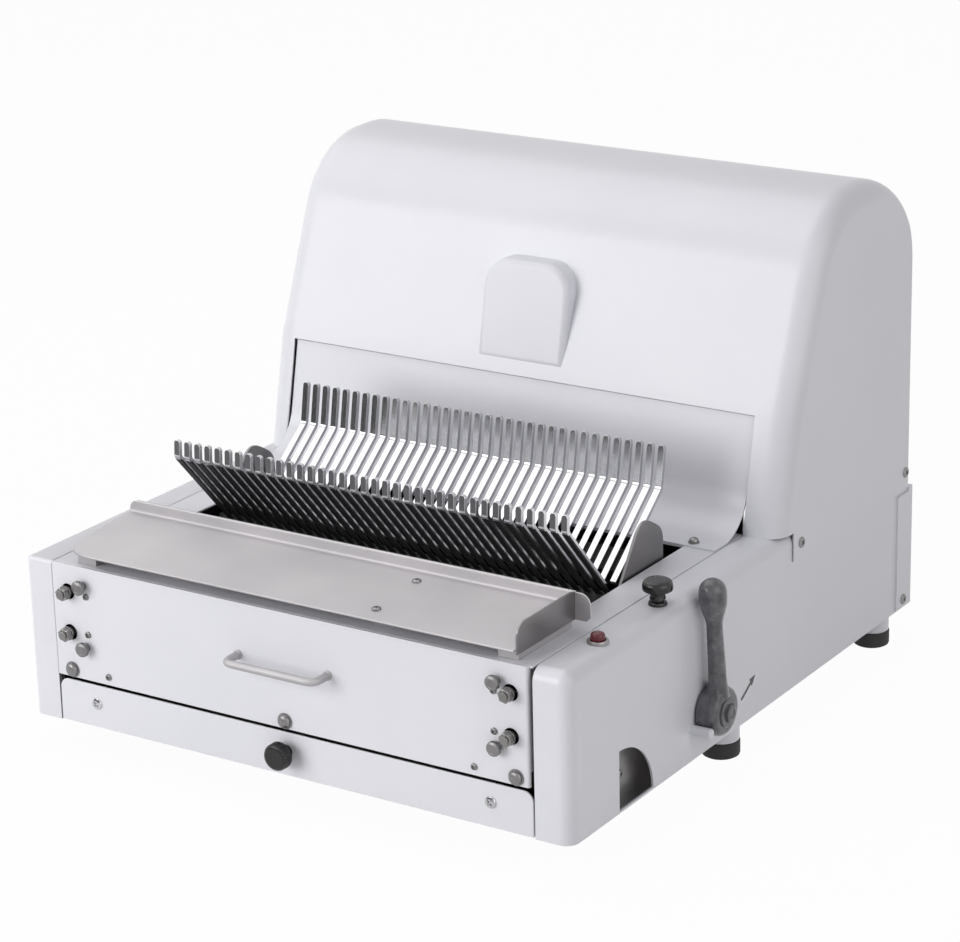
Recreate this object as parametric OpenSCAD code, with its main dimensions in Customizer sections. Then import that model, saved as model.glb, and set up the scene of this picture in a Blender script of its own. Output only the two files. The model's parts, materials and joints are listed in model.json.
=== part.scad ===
// Countertop bread slicer: finger-rack loaf trough, side feed lever, opposed blade frames under a hood

/* [Base] */
// Width over both side casings
base_width = 552; // [540:1:590]
// Height of the casings above their lower edge
base_height = 148; // [144:1:158]
// Length of the casings from front to back
base_depth = 606; // [598:1:640]
// Width of the left side casing
left_casing_width = 27; // [26:1:34]
// Width of the right side casing
right_casing_width = 34; // [33:1:40]
// Radius of the casings' outer edges
casing_radius = 12; // [6:1:13]
// Thickness of the casing sheet
casing_wall = 2; // [1.5:0.5:2.5]
// Height of the feet
foot_height = 28; // [24:1:40]
// Diameter of the rubber pads
foot_diameter = 33; // [26:1:34]

/* [Hood] */
// Depth of the hood at the deck
hood_depth = 260; // [254:1:270]
// Rise of the hood above the deck
hood_rise = 284; // [276:1:300]
// Radius of the dome at the front
dome_front_radius = 92; // [84:1:96]
// Radius of the dome at the back
dome_rear_radius = 91; // [84:1:96]
// Radius of the hood's upright edges
hood_edge_radius = 22; // [12:1:26]
// Thickness of the hood sheet
hood_wall = 2; // [1.5:0.5:2.5]
// Height of the guard panel's window in the hood
guard_height = 104; // [98:1:110]
// Reach of the guard panel's foot in front of the hood
guard_reach = 48; // [44:1:54]

/* [Loaf trough] */
// Spacing of the rack fingers
finger_pitch = 11.11; // [9.5:0.01:16]
// Width of one finger
finger_width = 6; // [4:0.5:7]
// Thickness of one finger
finger_thickness = 4; // [3:0.5:5]
// Length of each side of the trough
trough_side = 118; // [112:1:124]
// Slope of the front rack
front_slope = 48; // [45:1:50]
// Slope of the rear rack
rear_slope = 38; // [36:1:41]
// Distance of the trough's bottom from the front cover
trough_y = 198; // [196:1:204]
// Depth of the trough's bottom below the deck
trough_drop = 21; // [20:1:23]
// Length of the front fingers' upright tips
front_tip_length = 16; // [10:1:24]
// Length of the rear fingers' upright tips
rear_tip_length = 38; // [28:1:44]

/* [Feed] */
// Length of the feed lever from its hub to the bulb
lever_length = 111; // [100:1:130]
// Diameter of the lever's bulb
lever_bulb = 25; // [20:1:28]
// Distance of the lever's axis from the front cover
lever_y = 219; // [216:1:226]
// Height of the lever's axis
lever_z = 40; // [38:1:44]
// Length of the two link arms
arm_length = 30; // [26:1:32]

/* [Blade frames] */
// Diameter of the guide rods
guide_rod_diameter = 10; // [8:0.5:10.5]
// Height of a blade
blade_height = 11; // [8:1:12]
// Thickness of a blade
blade_thickness = 0.8; // [0.5:0.1:1.2]
// Throw of the two eccentrics
eccentric_throw = 10; // [6:0.5:10]
// Diameter of the driven pulley
driven_pulley_diameter = 120; // [110:1:130]
// Diameter of the motor pulley
motor_pulley_diameter = 48; // [44:1:54]

/* [Front] */
// Height of the crumb drawer's front
drawer_height = 41; // [40:1:43]
// Length of the drawer's box
drawer_length = 198; // [170:1:200]
// Distance between the handle's posts
handle_span = 92; // [80:1:110]
// Reach of the handle in front of the cover
handle_reach = 20; // [16:1:26]
// Depth of the bagging tray
tray_depth = 93; // [84:1:96]
// Height of the tray's rear flange
tray_flange = 11; // [8:1:14]

/* [Hidden] */
$fn = 64;
overrun = 1;
seam = 0.8;
slide_gap = 0.3;
running_gap = 0.05;
sheet_wall = 1.5;

// Bays and datum planes
bay_left = left_casing_width;
bay_right = base_width - right_casing_width;
bay_mid = (bay_left + bay_right) / 2;
deck_wall = 2;
deck_under = base_height - deck_wall;
hood_front = base_depth - hood_depth;
hood_top = base_height + hood_rise;
plate = 3;

// Racks
rack_shift = 3;
rack_mid = bay_mid + rack_shift;
rack_side_room = 105;
rear_count = floor((bay_right - bay_left - rack_side_room) / finger_pitch) + 1;
front_count = rear_count + 2;
front_half = ((front_count - 1) * finger_pitch + finger_width) / 2;
tip_bevel = 5;
front_tip_lean = 3;
rear_tip_lean = 10;
front_start = 12;
rear_start = 20;
rack_bar = 12;
trough_z = base_height - trough_drop;
trough_bottom = [trough_y, trough_z];
front_dir = [-cos(front_slope), sin(front_slope)];
rear_dir = [cos(rear_slope), sin(rear_slope)];
front_bend = trough_bottom + front_dir * trough_side;
rear_bend = trough_bottom + rear_dir * trough_side;
front_tip = front_bend + front_tip_length * [sin(front_tip_lean), cos(front_tip_lean)];
rear_tip = rear_bend + rear_tip_length * [sin(rear_tip_lean), cos(rear_tip_lean)];
front_path = [front_tip, front_bend, trough_bottom + front_dir * front_start];
rear_path = [rear_tip, rear_bend, trough_bottom + rear_dir * rear_start];

// End guides and rack carriers
guide_gap = 2.5;
guide_wall = 2.5;
guide_inner = front_half + guide_gap;
guide_outer = guide_inner + guide_wall;
guide_rise = 48;
guide_end_rise = 32;
guide_peak = 33;
guide_end = 74;
guide_start = 4;
guide_round = 9;
carrier_set = 4;
carrier_top = base_height - carrier_set;
carrier_height = 13;
carrier_back = 30;
carrier_y = trough_y + carrier_back;
carrier_depth = 14;
wedge_start = 28;
wedge_depth = 18;

// Rack pivot, lever and link
pivot_set = 2;
pivot_drop = 23;
pivot_y = trough_y - pivot_set;
pivot_z = trough_z - pivot_drop;
pivot_diameter = 12;
bush_wall = 3;
cheek_gap = 1.5;
cheek_wall = 4;
cheek_inner = guide_outer + cheek_gap;
cheek_outer = cheek_inner + cheek_wall;
cheek_radius = 10;
arm_wall = 4;
arm_boss = 9;
arm_gap = 3;
link_gap = 1;
link_pin = 6;
link_boss = 7;
arm_out = bay_right - plate - arm_gap;
arm_in = arm_out - arm_wall;
link_out = arm_in - link_gap;
link_in = link_out - arm_wall;
lever_shaft_diameter = 16;
lever_gap = 1;
hub_diameter = 34;
hub_length = 20;
hub_in = base_width + lever_gap;
hub_out = hub_in + hub_length;
hub_nut_length = 5;
hub_nut_diameter = 18;
lever_root = 16;
lever_neck = 12;
lever_lean = 6;
flare_share = 0.7;
lever_x = base_width + lever_gap / 2 + lever_bulb / 2;
peg_diameter = 9;
peg_reach = 20;
peg_front = 25;
peg_drop = 11;
peg_y = lever_y - peg_front;
peg_z = lever_z - peg_drop;

// Guide rods and blade frames
rod_in_left = 17;
rod_in_right = 21;
rod_high_drop = 25;
rod_spacing = 37.7;
rod_left = bay_left + rod_in_left;
rod_right = bay_right - rod_in_right;
rod_high = base_height - rod_high_drop;
rod_low = rod_high - rod_spacing;
rod_reach = 12;
rod_cap = 12.5;
rod_cap_length = 12;
rod_hole = 14.5;
rod_past = 26;
rod_rear = hood_front + rod_past;
bush_length = 11;
rod_bush = guide_rod_diameter + 2 * bush_wall;
bulkhead_front = 16;
bulkhead_rear = hood_front;
bar_depth = 14;
bar_height = 12;
bar_lap = 6;
bar_set = 24;
bar_back_set = 14;
front_bar_y = bulkhead_front + bar_set;
rear_bar_y = hood_front - bar_back_set - bar_depth;
slot_depth = 9;
slot_side = 0.1;
blade_set = 1;
blade_top = (rod_high + rod_low) / 2 - blade_set;
blade_low = blade_top - blade_height;
blade_count = rear_count - 1;

// Crank drive
crank_back = 94;
crank_y = hood_front + crank_back;
crank_z = (rod_high + rod_low) / 2;
crank_diameter = 20;
eccentric_wall = 4;
eccentric_diameter = crank_diameter + 2 * eccentric_throw + 2 * eccentric_wall;
eccentric_width = 12;
strap_wall = 8;
rod_spread = 25;
lug_width = 8;
lug_length = 30;
tine_wall = 5;
tine_gap = 0.6;
tine_height = 20;
tine_set = 12;
web_set = 48;
tine_start = hood_front + tine_set;
web_start = hood_front + web_set;
web_depth = 8;
bearing_spread = 55;
bearing_width = 14;
bearing_depth = 42;
bearing_cap = 14;
window_half = 48;
window_margin = 16;
pulley_width = 18;
pulley_gap = 4;
groove_width = 9;
groove_depth = 6;
belt_width = 8;
belt_wall = 6;
pulley_in = bay_mid + bearing_spread + bearing_width + pulley_gap;
pulley_out = pulley_in + pulley_width;
pulley_mid = (pulley_in + pulley_out) / 2;
crank_left = bay_mid - bearing_spread - bearing_width - pulley_gap;

// Motor
motor_back = 154;
motor_rise = 117;
motor_y = hood_front + motor_back;
motor_z = base_height + motor_rise;
motor_diameter = 112;
motor_length = 176;
bell_diameter = 100;
bell_length = 14;
motor_shaft_diameter = 14;
motor_right = pulley_in - pulley_gap - bell_length;
motor_left = motor_right - motor_length;
shaft_seat = 25;
shelf_wall = 4;
shelf_lap = 6;
shelf_front = 64;
leg_gap = 9;
leg_y = crank_y + bearing_depth / 2 + leg_gap;
shelf_rear = 75;
saddle_width = 96;
saddle_length = 24;
saddle_rise = 8;
shelf_top = motor_z - motor_diameter / 2 - saddle_rise;
rib_count = 16;
rib_depth = 3;
rib_width = 4;

// Front cover and drawer
cover_wall = 2;
drawer_gap = 2.5;
drawer_seam = 1.6;
cover_low = drawer_height + drawer_gap;
handle_diameter = 7;
handle_drop = 47;
handle_z = base_height - handle_drop;
handle_foot = 13;
handle_foot_height = 3;
nut_drop = 17;
nut_spacing = 57;
nut_high = base_height - nut_drop;
nut_low = nut_high - nut_spacing;
nut_in = 34;
nut_diameter = 13;
nut_length = 9;
nut_neck = 8;
nut_neck_length = 4;
stud_diameter = 5;
screw_head = 7;
screw_rise = 2;
screw_shank = 4;
screw_drop = 26.5;
screw_spacing = 35;
screw_high = base_height - screw_drop;
screw_low = screw_high - screw_spacing;
screw_in = 37;
corner_screw_in = 57;
corner_screw_up = 7.5;
corner_screw_z = cover_low + corner_screw_up;
bolt_head = 12;
bolt_rise = 5;
bolt_in = 17;
bolt_up = 7;
bolt_z = cover_low + bolt_up;
drawer_wall = 1.5;
drawer_corner = 9;
drawer_side = 43;
drawer_floor = 4;
drawer_room = 5;
drawer_top = drawer_height - drawer_room;
runner_lap = 4;
runner_wall = 2.5;
drawer_bolt_in = 42;
knob_diameter = 24;
knob_length = 18;
knob_neck = 12;
knob_neck_length = 7;
knob_height_share = 0.56;
knob_z = drawer_height * knob_height_share;
bottom_start = 230;
bottom_lap = 5;

// Bagging tray
tray_in = 15;
tray_rise = 20;
tray_overhang = 3;
tray_left = bay_left + tray_in;
tray_right = bay_right - tray_in;
tray_top = base_height + tray_rise;
tray_front = -tray_overhang;
lip_set = 10;
lip_drop = 13;
flap_rise = 13;
flap_round = 12;
tray_corner = 14;
flange_round = 9;
flap_start = 7;
bracket_wall = 2;
bracket_foot = 16;
bracket_front = 11;
tray_screw_head = 8;
tray_screw_rise = 2;
tray_screw_front = 18.4;
tray_screw_back = 16;
tray_mid_in = 144;
tray_rear = tray_front + tray_depth;
tray_screw_x = tray_right - tray_mid_in;
tray_screw_ys = [tray_front + tray_screw_front, tray_rear - tray_screw_back];
bracket_half = bracket_foot / 2;
bracket_xs = [tray_left + bracket_half, tray_screw_x, tray_right - sheet_wall - seam - bracket_half];

// Deck opening
hole_left_gap = 7;
hole_right_gap = 2;
hole_left = rack_mid - guide_outer - hole_left_gap;
hole_right = rack_mid + guide_outer + hole_right_gap;
hole_gap = 11;
hole_front = front_bend[0] - hole_gap;
hole_rear = hood_front - guard_reach;
deck_past = 4;
deck_rear = hood_front + deck_past;
deck_front = cover_wall + seam;

// Guard panel and hood
guard_wall = 1.5;
guard_recess = 3;
guard_fillet = 45;
guard_lap = 4;
guard_seam = 1.5;
window_lean = 22;
lean = atan2(window_lean, guard_height);
guard_right = bay_right;
guard_left = bay_left - guard_lap;
guard_cz = base_height + guard_wall + guard_fillet;
guard_cy = guard_y(guard_cz) - guard_fillet / cos(lean);
guard_screw_in = 27;
guard_screw_set = 9;
guard_screw_head = 10;
guard_screw_rise = 5;
skirt_drop = 27;
skirt_set = 28;
dome_flat = 15;
edge_clear = 0.3;
edge_shares = [0, 0.25, 0.5, 0.75, 1];
hood_back = base_depth + hood_wall;
dome_rear = [hood_back - dome_rear_radius, hood_top - dome_rear_radius];
dome_front = [dome_rear[0] - dome_flat, hood_top - dome_front_radius];
knee = [hood_front + window_lean, base_height + guard_height];
knee_chord = dome_front - knee;
knee_angle = atan2(knee_chord[1], knee_chord[0]) + asin(dome_front_radius / norm(knee_chord));
knee_low_side = [cos(lean), -sin(lean)];
knee_high_side = [sin(knee_angle), -cos(knee_angle)];
boss_width = 92;
boss_gap = 11;
boss_low = guard_height + boss_gap;
boss_rise = 91;
boss_foot = 1;
boss_proud = 20;
boss_round = 28;
skirt_screw_set = 14;
skirt_screw_drop = 13;
side_screw_head = 8;
side_screw_rise = 2;
strap_length = 22;
rear_proud = 6;
cover_back = hood_back + rear_proud;
strap_gap = 5;
strap_low = 2;
strap_screw_set = 8;
strap_screw_up = 8;
strap_screw_drop = 11;
gland_in = 90;
gland_x = bay_left + gland_in;
gland_z = 56;
gland_diameter = 24;
gland_length = 16;
gland_bore = 9;
gland_nut = 30;
gland_nut_length = 6;
vent_count = 9;
vent_pitch = 12;
vent_width = 5;
vent_length = 52;
vent_z = 40;
skirt_spot = [hood_front + skirt_set + skirt_screw_set, base_height - skirt_screw_drop];
corner_spot = [base_depth - strap_screw_set, base_height - strap_screw_drop];
strap_spot = [base_depth - strap_screw_set, strap_low + strap_screw_up];

// Switches on the right casing
button_y = 72;
knob_y = 168;
switch_x = (bay_right + base_width) / 2;
button_diameter = 12.5;
button_rise = 9;
button_depth = 8;
bezel_wall = 1;
bezel_rise = 3;
barrel_wall = 1.5;
barrel_length = 20;
switch_size = 22;
switch_height = 24;
stem_diameter = 10;
stem_depth = 14;
collar_diameter = 16;
collar_rise = 3;
knob_travel = 2.5;
cap_diameter = 26;
cap_rise = 10;
cap_round = 4;
neck_diameter = 14;
neck_length = 6.5;

// Grip recess
grip_y = 75;
grip_radius = 55;
grip_depth = 13;
grip_wall = 1.5;
grip_screw_y = 22;
grip_screw_z = 24;

// Feet
foot_y_front = 276;
foot_in = 17;
foot_rear_set = 36;
foot_y_rear = base_depth - foot_rear_set;
foot_x_left = foot_in;
foot_x_right = base_width - foot_in;
pad_height = 10;
foot_neck = 20;

// Overall frame: middle of the outline in plan, floor under the pads
x_low = -hood_wall - side_screw_rise;
x_high = hub_out + hub_nut_length;
y_low = -handle_reach - handle_diameter / 2;
y_high = cover_back + gland_length;
frame_shift = [-(x_low + x_high) / 2, -(y_low + y_high) / 2, foot_height];

function unit(v) = v / norm(v);
function left_of(v) = [-v[1], v[0]];
function side_at(path, i) = left_of(unit(path[i + 1] - path[i]));
function side_before(path, i) = i > 0 ? side_at(path, i - 1) : side_at(path, i);
function side_after(path, i) = i < len(path) - 1 ? side_at(path, i) : side_before(path, i);
function mitre(a, b) = (a + b) / (1 + a * b);
function shifted(path, i, t) = path[i] + mitre(side_before(path, i), side_after(path, i)) * t;
function sheet(path, t) = concat(path, [for (i = [len(path) - 1:-1:0]) shifted(path, i, t)]);
function finger_x(i, count) = rack_mid + (i - (count - 1) / 2) * finger_pitch;
function guard_y(z) = hood_front + guard_recess + (z - base_height) * tan(lean);
function bevelled(path, t, cut) = let (p = sheet(path, t))
    concat([path[0] + unit(path[1] - path[0]) * cut], [for (i = [1:len(p) - 1]) p[i]]);

module placed() {
    translate(frame_shift) children();
}

module slab(low, high) {
    translate(low) cube(high - low);
}

module rod_x(x0, x1, y, z, d) {
    translate([x0, y, z]) rotate([0, 90, 0]) cylinder(d = d, h = x1 - x0);
}

module rod_y(x, y0, y1, z, d) {
    translate([x, y0, z]) rotate([-90, 0, 0]) cylinder(d = d, h = y1 - y0);
}

module rod_z(x, y, z0, z1, d) {
    translate([x, y, z0]) cylinder(d = d, h = z1 - z0);
}

module along_x(x0, x1) {
    translate([x0, 0, 0]) rotate([90, 0, 90]) linear_extrude(x1 - x0) children();
}

module along_y(y0, y1) {
    translate([0, y1, 0]) rotate([90, 0, 0]) linear_extrude(y1 - y0) children();
}

// Rectangle with its far upper corner rounded
module soft_corner(w, h, r) {
    difference() {
        square([w, h]);
        translate([w - r, h - r]) difference() {
            square(r + overrun);
            circle(r);
        }
    }
}

// Rectangle with both upper corners rounded
module soft_top(w, h, r) {
    intersection() {
        soft_corner(w, h, r);
        translate([w, 0]) mirror([1, 0]) soft_corner(w, h, r);
    }
}

// Block with its outer, front and top edges rounded on the +X side
module casing_block(w, d, h, r) {
    intersection() {
        linear_extrude(h) translate([0, d]) mirror([0, 1]) soft_corner(w, d, r);
        along_x(0, w) translate([d, 0]) mirror([1, 0]) soft_corner(d, h, r);
        along_y(0, d) soft_corner(w, h, r);
    }
}

module casing_shell(w) {
    inner_w = w - casing_wall + overrun;
    inner_d = base_depth - casing_wall + overrun;
    inner_h = base_height - casing_wall + overrun;
    difference() {
        casing_block(w, base_depth, base_height, casing_radius);
        translate([-overrun, casing_wall, -overrun])
            casing_block(inner_w, inner_d, inner_h, casing_radius - casing_wall);
    }
}

// Fastener on a face that looks to the front: head outside, shank through the sheet
module front_screw(x, z, face_y, head, rise, depth) {
    rod_y(x, face_y - rise, face_y, z, head);
    rod_y(x, face_y, face_y + depth, z, screw_shank);
}

module left_right_rods(z, d, y0, y1) {
    for (x = [rod_left, rod_right])
        rod_y(x, y0, y1, z, d);
}

module chassis() {
    low_x = bottom_lap;
    high_x = base_width - bottom_lap;
    rear = base_depth - plate;
    placed() color("gainsboro") difference() {
        union() {
            slab([bay_left, 2 * cover_wall, 0], [bay_left + plate, rear, deck_under]);
            slab([bay_right - plate, 2 * cover_wall, 0], [bay_right, rear, deck_under]);
            slab([bay_left, bulkhead_front, cover_low], [bay_right, bulkhead_front + plate, deck_under]);
            slab([bay_left, bulkhead_rear, 0], [bay_right, bulkhead_rear + plate, deck_under]);
            slab([low_x, bottom_start, 0], [high_x, rear, plate]);
            runner_high = drawer_floor - slide_gap;
            runner_low = runner_high - runner_wall;
            runner_end = bay_left + drawer_side + runner_lap;
            slab([bay_left, 2 * cover_wall, runner_low], [runner_end, bottom_start + overrun, runner_high]);
            slab([bay_right - (runner_end - bay_left), 2 * cover_wall, runner_low],
                [bay_right, bottom_start + overrun, runner_high]);
        }
        for (z = [rod_low, rod_high])
            left_right_rods(z, rod_bush, 0, hood_front + plate + overrun);
        rod_x(0, base_width, pivot_y, pivot_z, pivot_diameter + 2 * bush_wall);
        rod_x(bay_mid, base_width, lever_y, lever_z, lever_shaft_diameter + 2 * bush_wall);
        slab([bay_mid - window_half, bulkhead_rear - overrun, rod_low - window_margin - eccentric_throw],
            [bay_mid + window_half, bulkhead_rear + plate + overrun, deck_under - window_margin / 2]);
        cover_holes(bulkhead_front - overrun, bulkhead_front + plate + overrun);
        for (x = [foot_x_left, foot_x_right], y = [foot_y_front, foot_y_rear])
            rod_z(x, y, -overrun, plate + overrun, screw_shank);
    }
}

// Holes that the cover and the front bulkhead share
module cover_holes(y0, y1) {
    for (x = [bay_left + nut_in, bay_right - nut_in], z = [nut_low, nut_high])
        rod_y(x, y0, y1, z, stud_diameter);
    for (x = [bay_left + screw_in, bay_right - screw_in], z = [screw_low, screw_high])
        rod_y(x, y0, y1, z, screw_shank);
    for (x = [bay_left + corner_screw_in, bay_right - corner_screw_in])
        rod_y(x, y0, y1, corner_screw_z, screw_shank);
    for (x = [bay_left + bolt_in, bay_mid, bay_right - bolt_in])
        rod_y(x, y0, y1, bolt_z, screw_shank);
}

module casing_screw_holes(side) {
    for (spot = [skirt_spot, corner_spot, strap_spot])
        side_rod(outer_face(side), inner_face(side) - side * overrun, spot, screw_shank);
}

module left_casing() {
    placed() color("white") difference() {
        translate([bay_left, 0, 0]) mirror([1, 0, 0]) casing_shell(left_casing_width);
        casing_screw_holes(-1);
    }
}

module right_casing() {
    under_round = base_height - casing_radius;
    placed() color("white") difference() {
        translate([bay_right, 0, 0]) casing_shell(right_casing_width);
        casing_screw_holes(1);
        rod_x(bay_right, base_width + overrun, lever_y, lever_z, lever_shaft_diameter + 2 * slide_gap);
        rod_z(switch_x, button_y, under_round, base_height + overrun, barrel_diameter(button_diameter));
        rod_z(switch_x, knob_y, under_round, base_height + overrun, barrel_diameter(stem_diameter));
        rod_x(bay_right, base_width + overrun, peg_y, peg_z, peg_diameter);
        intersection() {
            rod_x(bay_right, base_width + overrun, grip_y, 0, 2 * grip_radius);
            slab([bay_right, grip_y, -overrun], [base_width + overrun, grip_y + grip_radius, grip_radius]);
        }
    }
}

function barrel_diameter(d) = d + 2 * slide_gap + 2 * barrel_wall;

module top_deck() {
    placed() color("white") difference() {
        slab([bay_left + seam, deck_front, deck_under], [bay_right - seam, deck_rear, base_height]);
        slab([hole_left, hole_front, deck_under - overrun], [hole_right, hole_rear, base_height + overrun]);
        for (x = [bay_left + guard_screw_in, bay_right - guard_screw_in])
            rod_z(x, hole_rear + guard_screw_set, deck_under - overrun, base_height + overrun, screw_shank);
    }
}

module front_cover() {
    placed() color("white") difference() {
        union() {
            slab([bay_left + seam, 0, cover_low], [bay_right - seam, cover_wall, base_height]);
            slab([bay_left + plate + seam, cover_wall, cover_low],
                [bay_right - plate - seam, bulkhead_front, cover_low + cover_wall]);
        }
        for (z = [rod_low, rod_high])
            left_right_rods(z, rod_hole, -overrun, cover_wall + overrun);
        cover_holes(-overrun, cover_wall + overrun);
        for (x = [bay_mid - handle_span / 2, bay_mid + handle_span / 2])
            rod_y(x, -overrun, cover_wall + overrun, handle_z, stud_diameter);
    }
}

module cover_handle() {
    corner = handle_diameter;
    bar_y = -handle_reach;
    left = bay_mid - handle_span / 2;
    right = bay_mid + handle_span / 2;
    placed() color("silver") {
        for (x = [left, right]) {
            rod_y(x, -handle_foot_height, 0, handle_z, handle_foot);
            rod_y(x, bar_y + corner, -handle_foot_height, handle_z, handle_diameter);
            rod_y(x, 0, cover_wall, handle_z, stud_diameter);
        }
        rod_x(left + corner, right - corner, bar_y, handle_z, handle_diameter);
        translate([left + corner, bar_y + corner, handle_z]) rotate(180)
            rotate_extrude(angle = 90) translate([corner, 0]) circle(d = handle_diameter);
        translate([right - corner, bar_y + corner, handle_z]) rotate(270)
            rotate_extrude(angle = 90) translate([corner, 0]) circle(d = handle_diameter);
    }
}

module cover_thumb_nuts() {
    placed() color("silver")
        for (x = [bay_left + nut_in, bay_right - nut_in], z = [nut_low, nut_high]) {
            rod_y(x, -nut_neck_length, 0, z, nut_neck);
            rod_y(x, -nut_length, -nut_neck_length, z, nut_diameter);
            rod_y(x, 0, bulkhead_front + plate, z, stud_diameter);
        }
}

module cover_screws() {
    depth = bulkhead_front + plate;
    placed() color("silver") {
        for (x = [bay_left + screw_in, bay_right - screw_in], z = [screw_low, screw_high])
            front_screw(x, z, 0, screw_head, screw_rise, depth);
        for (x = [bay_left + corner_screw_in, bay_right - corner_screw_in])
            front_screw(x, corner_screw_z, 0, screw_head, screw_rise, depth);
    }
}

module cover_bolts() {
    placed() color("silver")
        for (x = [bay_left + bolt_in, bay_mid, bay_right - bolt_in])
            front_screw(x, bolt_z, 0, bolt_head, bolt_rise, bulkhead_front + plate);
}

module crumb_drawer() {
    low = [bay_left + drawer_side, cover_wall, drawer_floor];
    high = [bay_right - drawer_side, cover_wall + drawer_length, drawer_top];
    wall = [drawer_wall, drawer_wall, drawer_wall];
    front_w = bay_right - bay_left - 2 * drawer_seam;
    placed() color("white") difference() {
        union() {
            along_y(0, cover_wall) translate([bay_left + drawer_seam, seam])
                soft_top(front_w, drawer_height - seam, drawer_corner);
            slab(low, high);
        }
        slab(low + [drawer_wall, 0, drawer_wall], high - [drawer_wall, drawer_wall, -overrun]);
        rod_y(bay_mid, -overrun, cover_wall + overrun, knob_z, stud_diameter);
        for (x = [bay_left + drawer_bolt_in, bay_right - drawer_bolt_in])
            rod_y(x, -overrun, cover_wall + overrun, knob_z, screw_shank);
    }
}

module drawer_knob() {
    placed() color("black") {
        rod_y(bay_mid, -knob_neck_length, 0, knob_z, knob_neck);
        rod_y(bay_mid, -knob_length, -knob_neck_length, knob_z, knob_diameter);
        rod_y(bay_mid, 0, cover_wall, knob_z, stud_diameter);
    }
}

module drawer_screws() {
    placed() color("silver")
        for (x = [bay_left + drawer_bolt_in, bay_right - drawer_bolt_in])
            front_screw(x, knob_z, 0, screw_head, screw_rise, cover_wall);
}

// What is cut away to round a corner that points to the origin
module corner_cut(r) {
    difference() {
        translate([-overrun, -overrun]) square(r + overrun);
        translate([r, r]) circle(r);
    }
}

module tray_screw_rods(z0, z1, d) {
    for (y = tray_screw_ys)
        rod_z(tray_screw_x, y, z0, z1, d);
}

// Floor with a lip bent under its front, a rear flange and a flap at the right end
module bagging_tray() {
    lip = [tray_front + lip_set, tray_top - lip_drop];
    flange_top = tray_top + tray_flange;
    path = [lip, [tray_front, tray_top], [tray_rear, tray_top], [tray_rear, flange_top]];
    placed() color("silver") difference() {
        union() {
            along_x(tray_left, tray_right) polygon(sheet(path, -sheet_wall));
            along_x(tray_right - sheet_wall, tray_right) translate([flap_start, tray_top - lip_drop])
                soft_top(tray_rear - flap_start, lip_drop + flap_rise, flap_round);
        }
        translate([tray_left, tray_front, base_height]) linear_extrude(hood_rise) corner_cut(tray_corner);
        along_y(tray_rear - 2 * sheet_wall, tray_rear + 2 * sheet_wall) translate([tray_left, flange_top])
            mirror([0, 1]) corner_cut(flange_round);
        tray_screw_rods(tray_top - 2 * sheet_wall, tray_top + overrun, screw_shank);
    }
}

module tray_brackets() {
    rise = tray_top - sheet_wall - base_height;
    path = [[bracket_half, 0], [-bracket_half, 0], [-bracket_half, rise], [bracket_half, rise]];
    placed() color("silver") difference() {
        for (x = bracket_xs)
            along_y(bracket_front, tray_rear - sheet_wall) translate([x, base_height])
                polygon(sheet(path, -bracket_wall));
        tray_screw_rods(base_height + bracket_wall + overrun, tray_top, screw_shank);
    }
}

module tray_screws() {
    placed() color("silver") {
        tray_screw_rods(tray_top, tray_top + tray_screw_rise, tray_screw_head);
        tray_screw_rods(tray_top - sheet_wall - bracket_wall, tray_top, screw_shank);
    }
}

module fingers(path, count) {
    for (i = [0:count - 1])
        along_x(finger_x(i, count) - finger_width / 2, finger_x(i, count) + finger_width / 2)
            polygon(bevelled(path, finger_thickness, tip_bevel));
}

module front_fingers() {
    placed() color("silver") fingers(front_path, front_count);
}

// Cross bar on two cheeks, with the stub shafts that it swings on
module front_rack_bar() {
    back = left_of(-front_dir);
    corners = [for (p = [[0, finger_thickness], [0, finger_thickness - rack_bar],
        [front_start, finger_thickness - rack_bar], [front_start, finger_thickness]])
        trough_bottom + front_dir * p[0] + back * p[1]];
    placed() color("dimgray") {
        along_x(rack_mid - cheek_inner, rack_mid + cheek_inner) polygon(corners);
        for (side = [-1, 1]) {
            inner = rack_mid + side * cheek_inner;
            outer = rack_mid + side * cheek_outer;
            end = side < 0 ? bay_left : bay_right;
            along_x(min(inner, outer), max(inner, outer)) {
                translate([pivot_y, pivot_z]) circle(cheek_radius);
                polygon(concat([for (s = [1, -1]) [pivot_y - s * cheek_radius, pivot_z]],
                    [corners[0], corners[3], corners[2]]));
                polygon(corners);
            }
            rod_x(min(outer, end), max(outer, end), pivot_y, pivot_z, pivot_diameter);
        }
    }
}

// Flat arm from an axis to a link pin behind it
module link_arm(y, z, bore) {
    difference() {
        union() {
            rod_x(arm_in, arm_out, y, z, bore + arm_boss);
            slab([arm_in, y, z - link_boss], [arm_out, y + arm_length, z + link_boss]);
            rod_x(arm_in, arm_out, y + arm_length, z, 2 * link_boss);
        }
        rod_x(arm_in - overrun, arm_out + overrun, y, z, bore);
    }
    rod_x(link_in, arm_in, y + arm_length, z, link_pin);
}

module rack_arm() {
    placed() color("dimgray") link_arm(pivot_y, pivot_z, pivot_diameter);
}

module rear_fingers() {
    placed() color("silver") fingers(rear_path, rear_count);
}

// Fixed cross bar: a tongue from wall to wall and a wedge that fits under the slope
module rear_rack_bar() {
    tongue_low = carrier_top - carrier_height;
    low_y = trough_y + wedge_start;
    high_y = low_y + wedge_depth;
    placed() color("dimgray") {
        slab([bay_left + plate, carrier_y, tongue_low],
            [bay_right - plate, carrier_y + carrier_depth, carrier_top]);
        along_x(rack_mid - guide_inner, rack_mid + guide_inner)
            polygon([[low_y, tongue_low], [high_y, tongue_low], [high_y, under_slope(high_y)],
                [low_y, under_slope(low_y)]]);
    }
}

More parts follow.
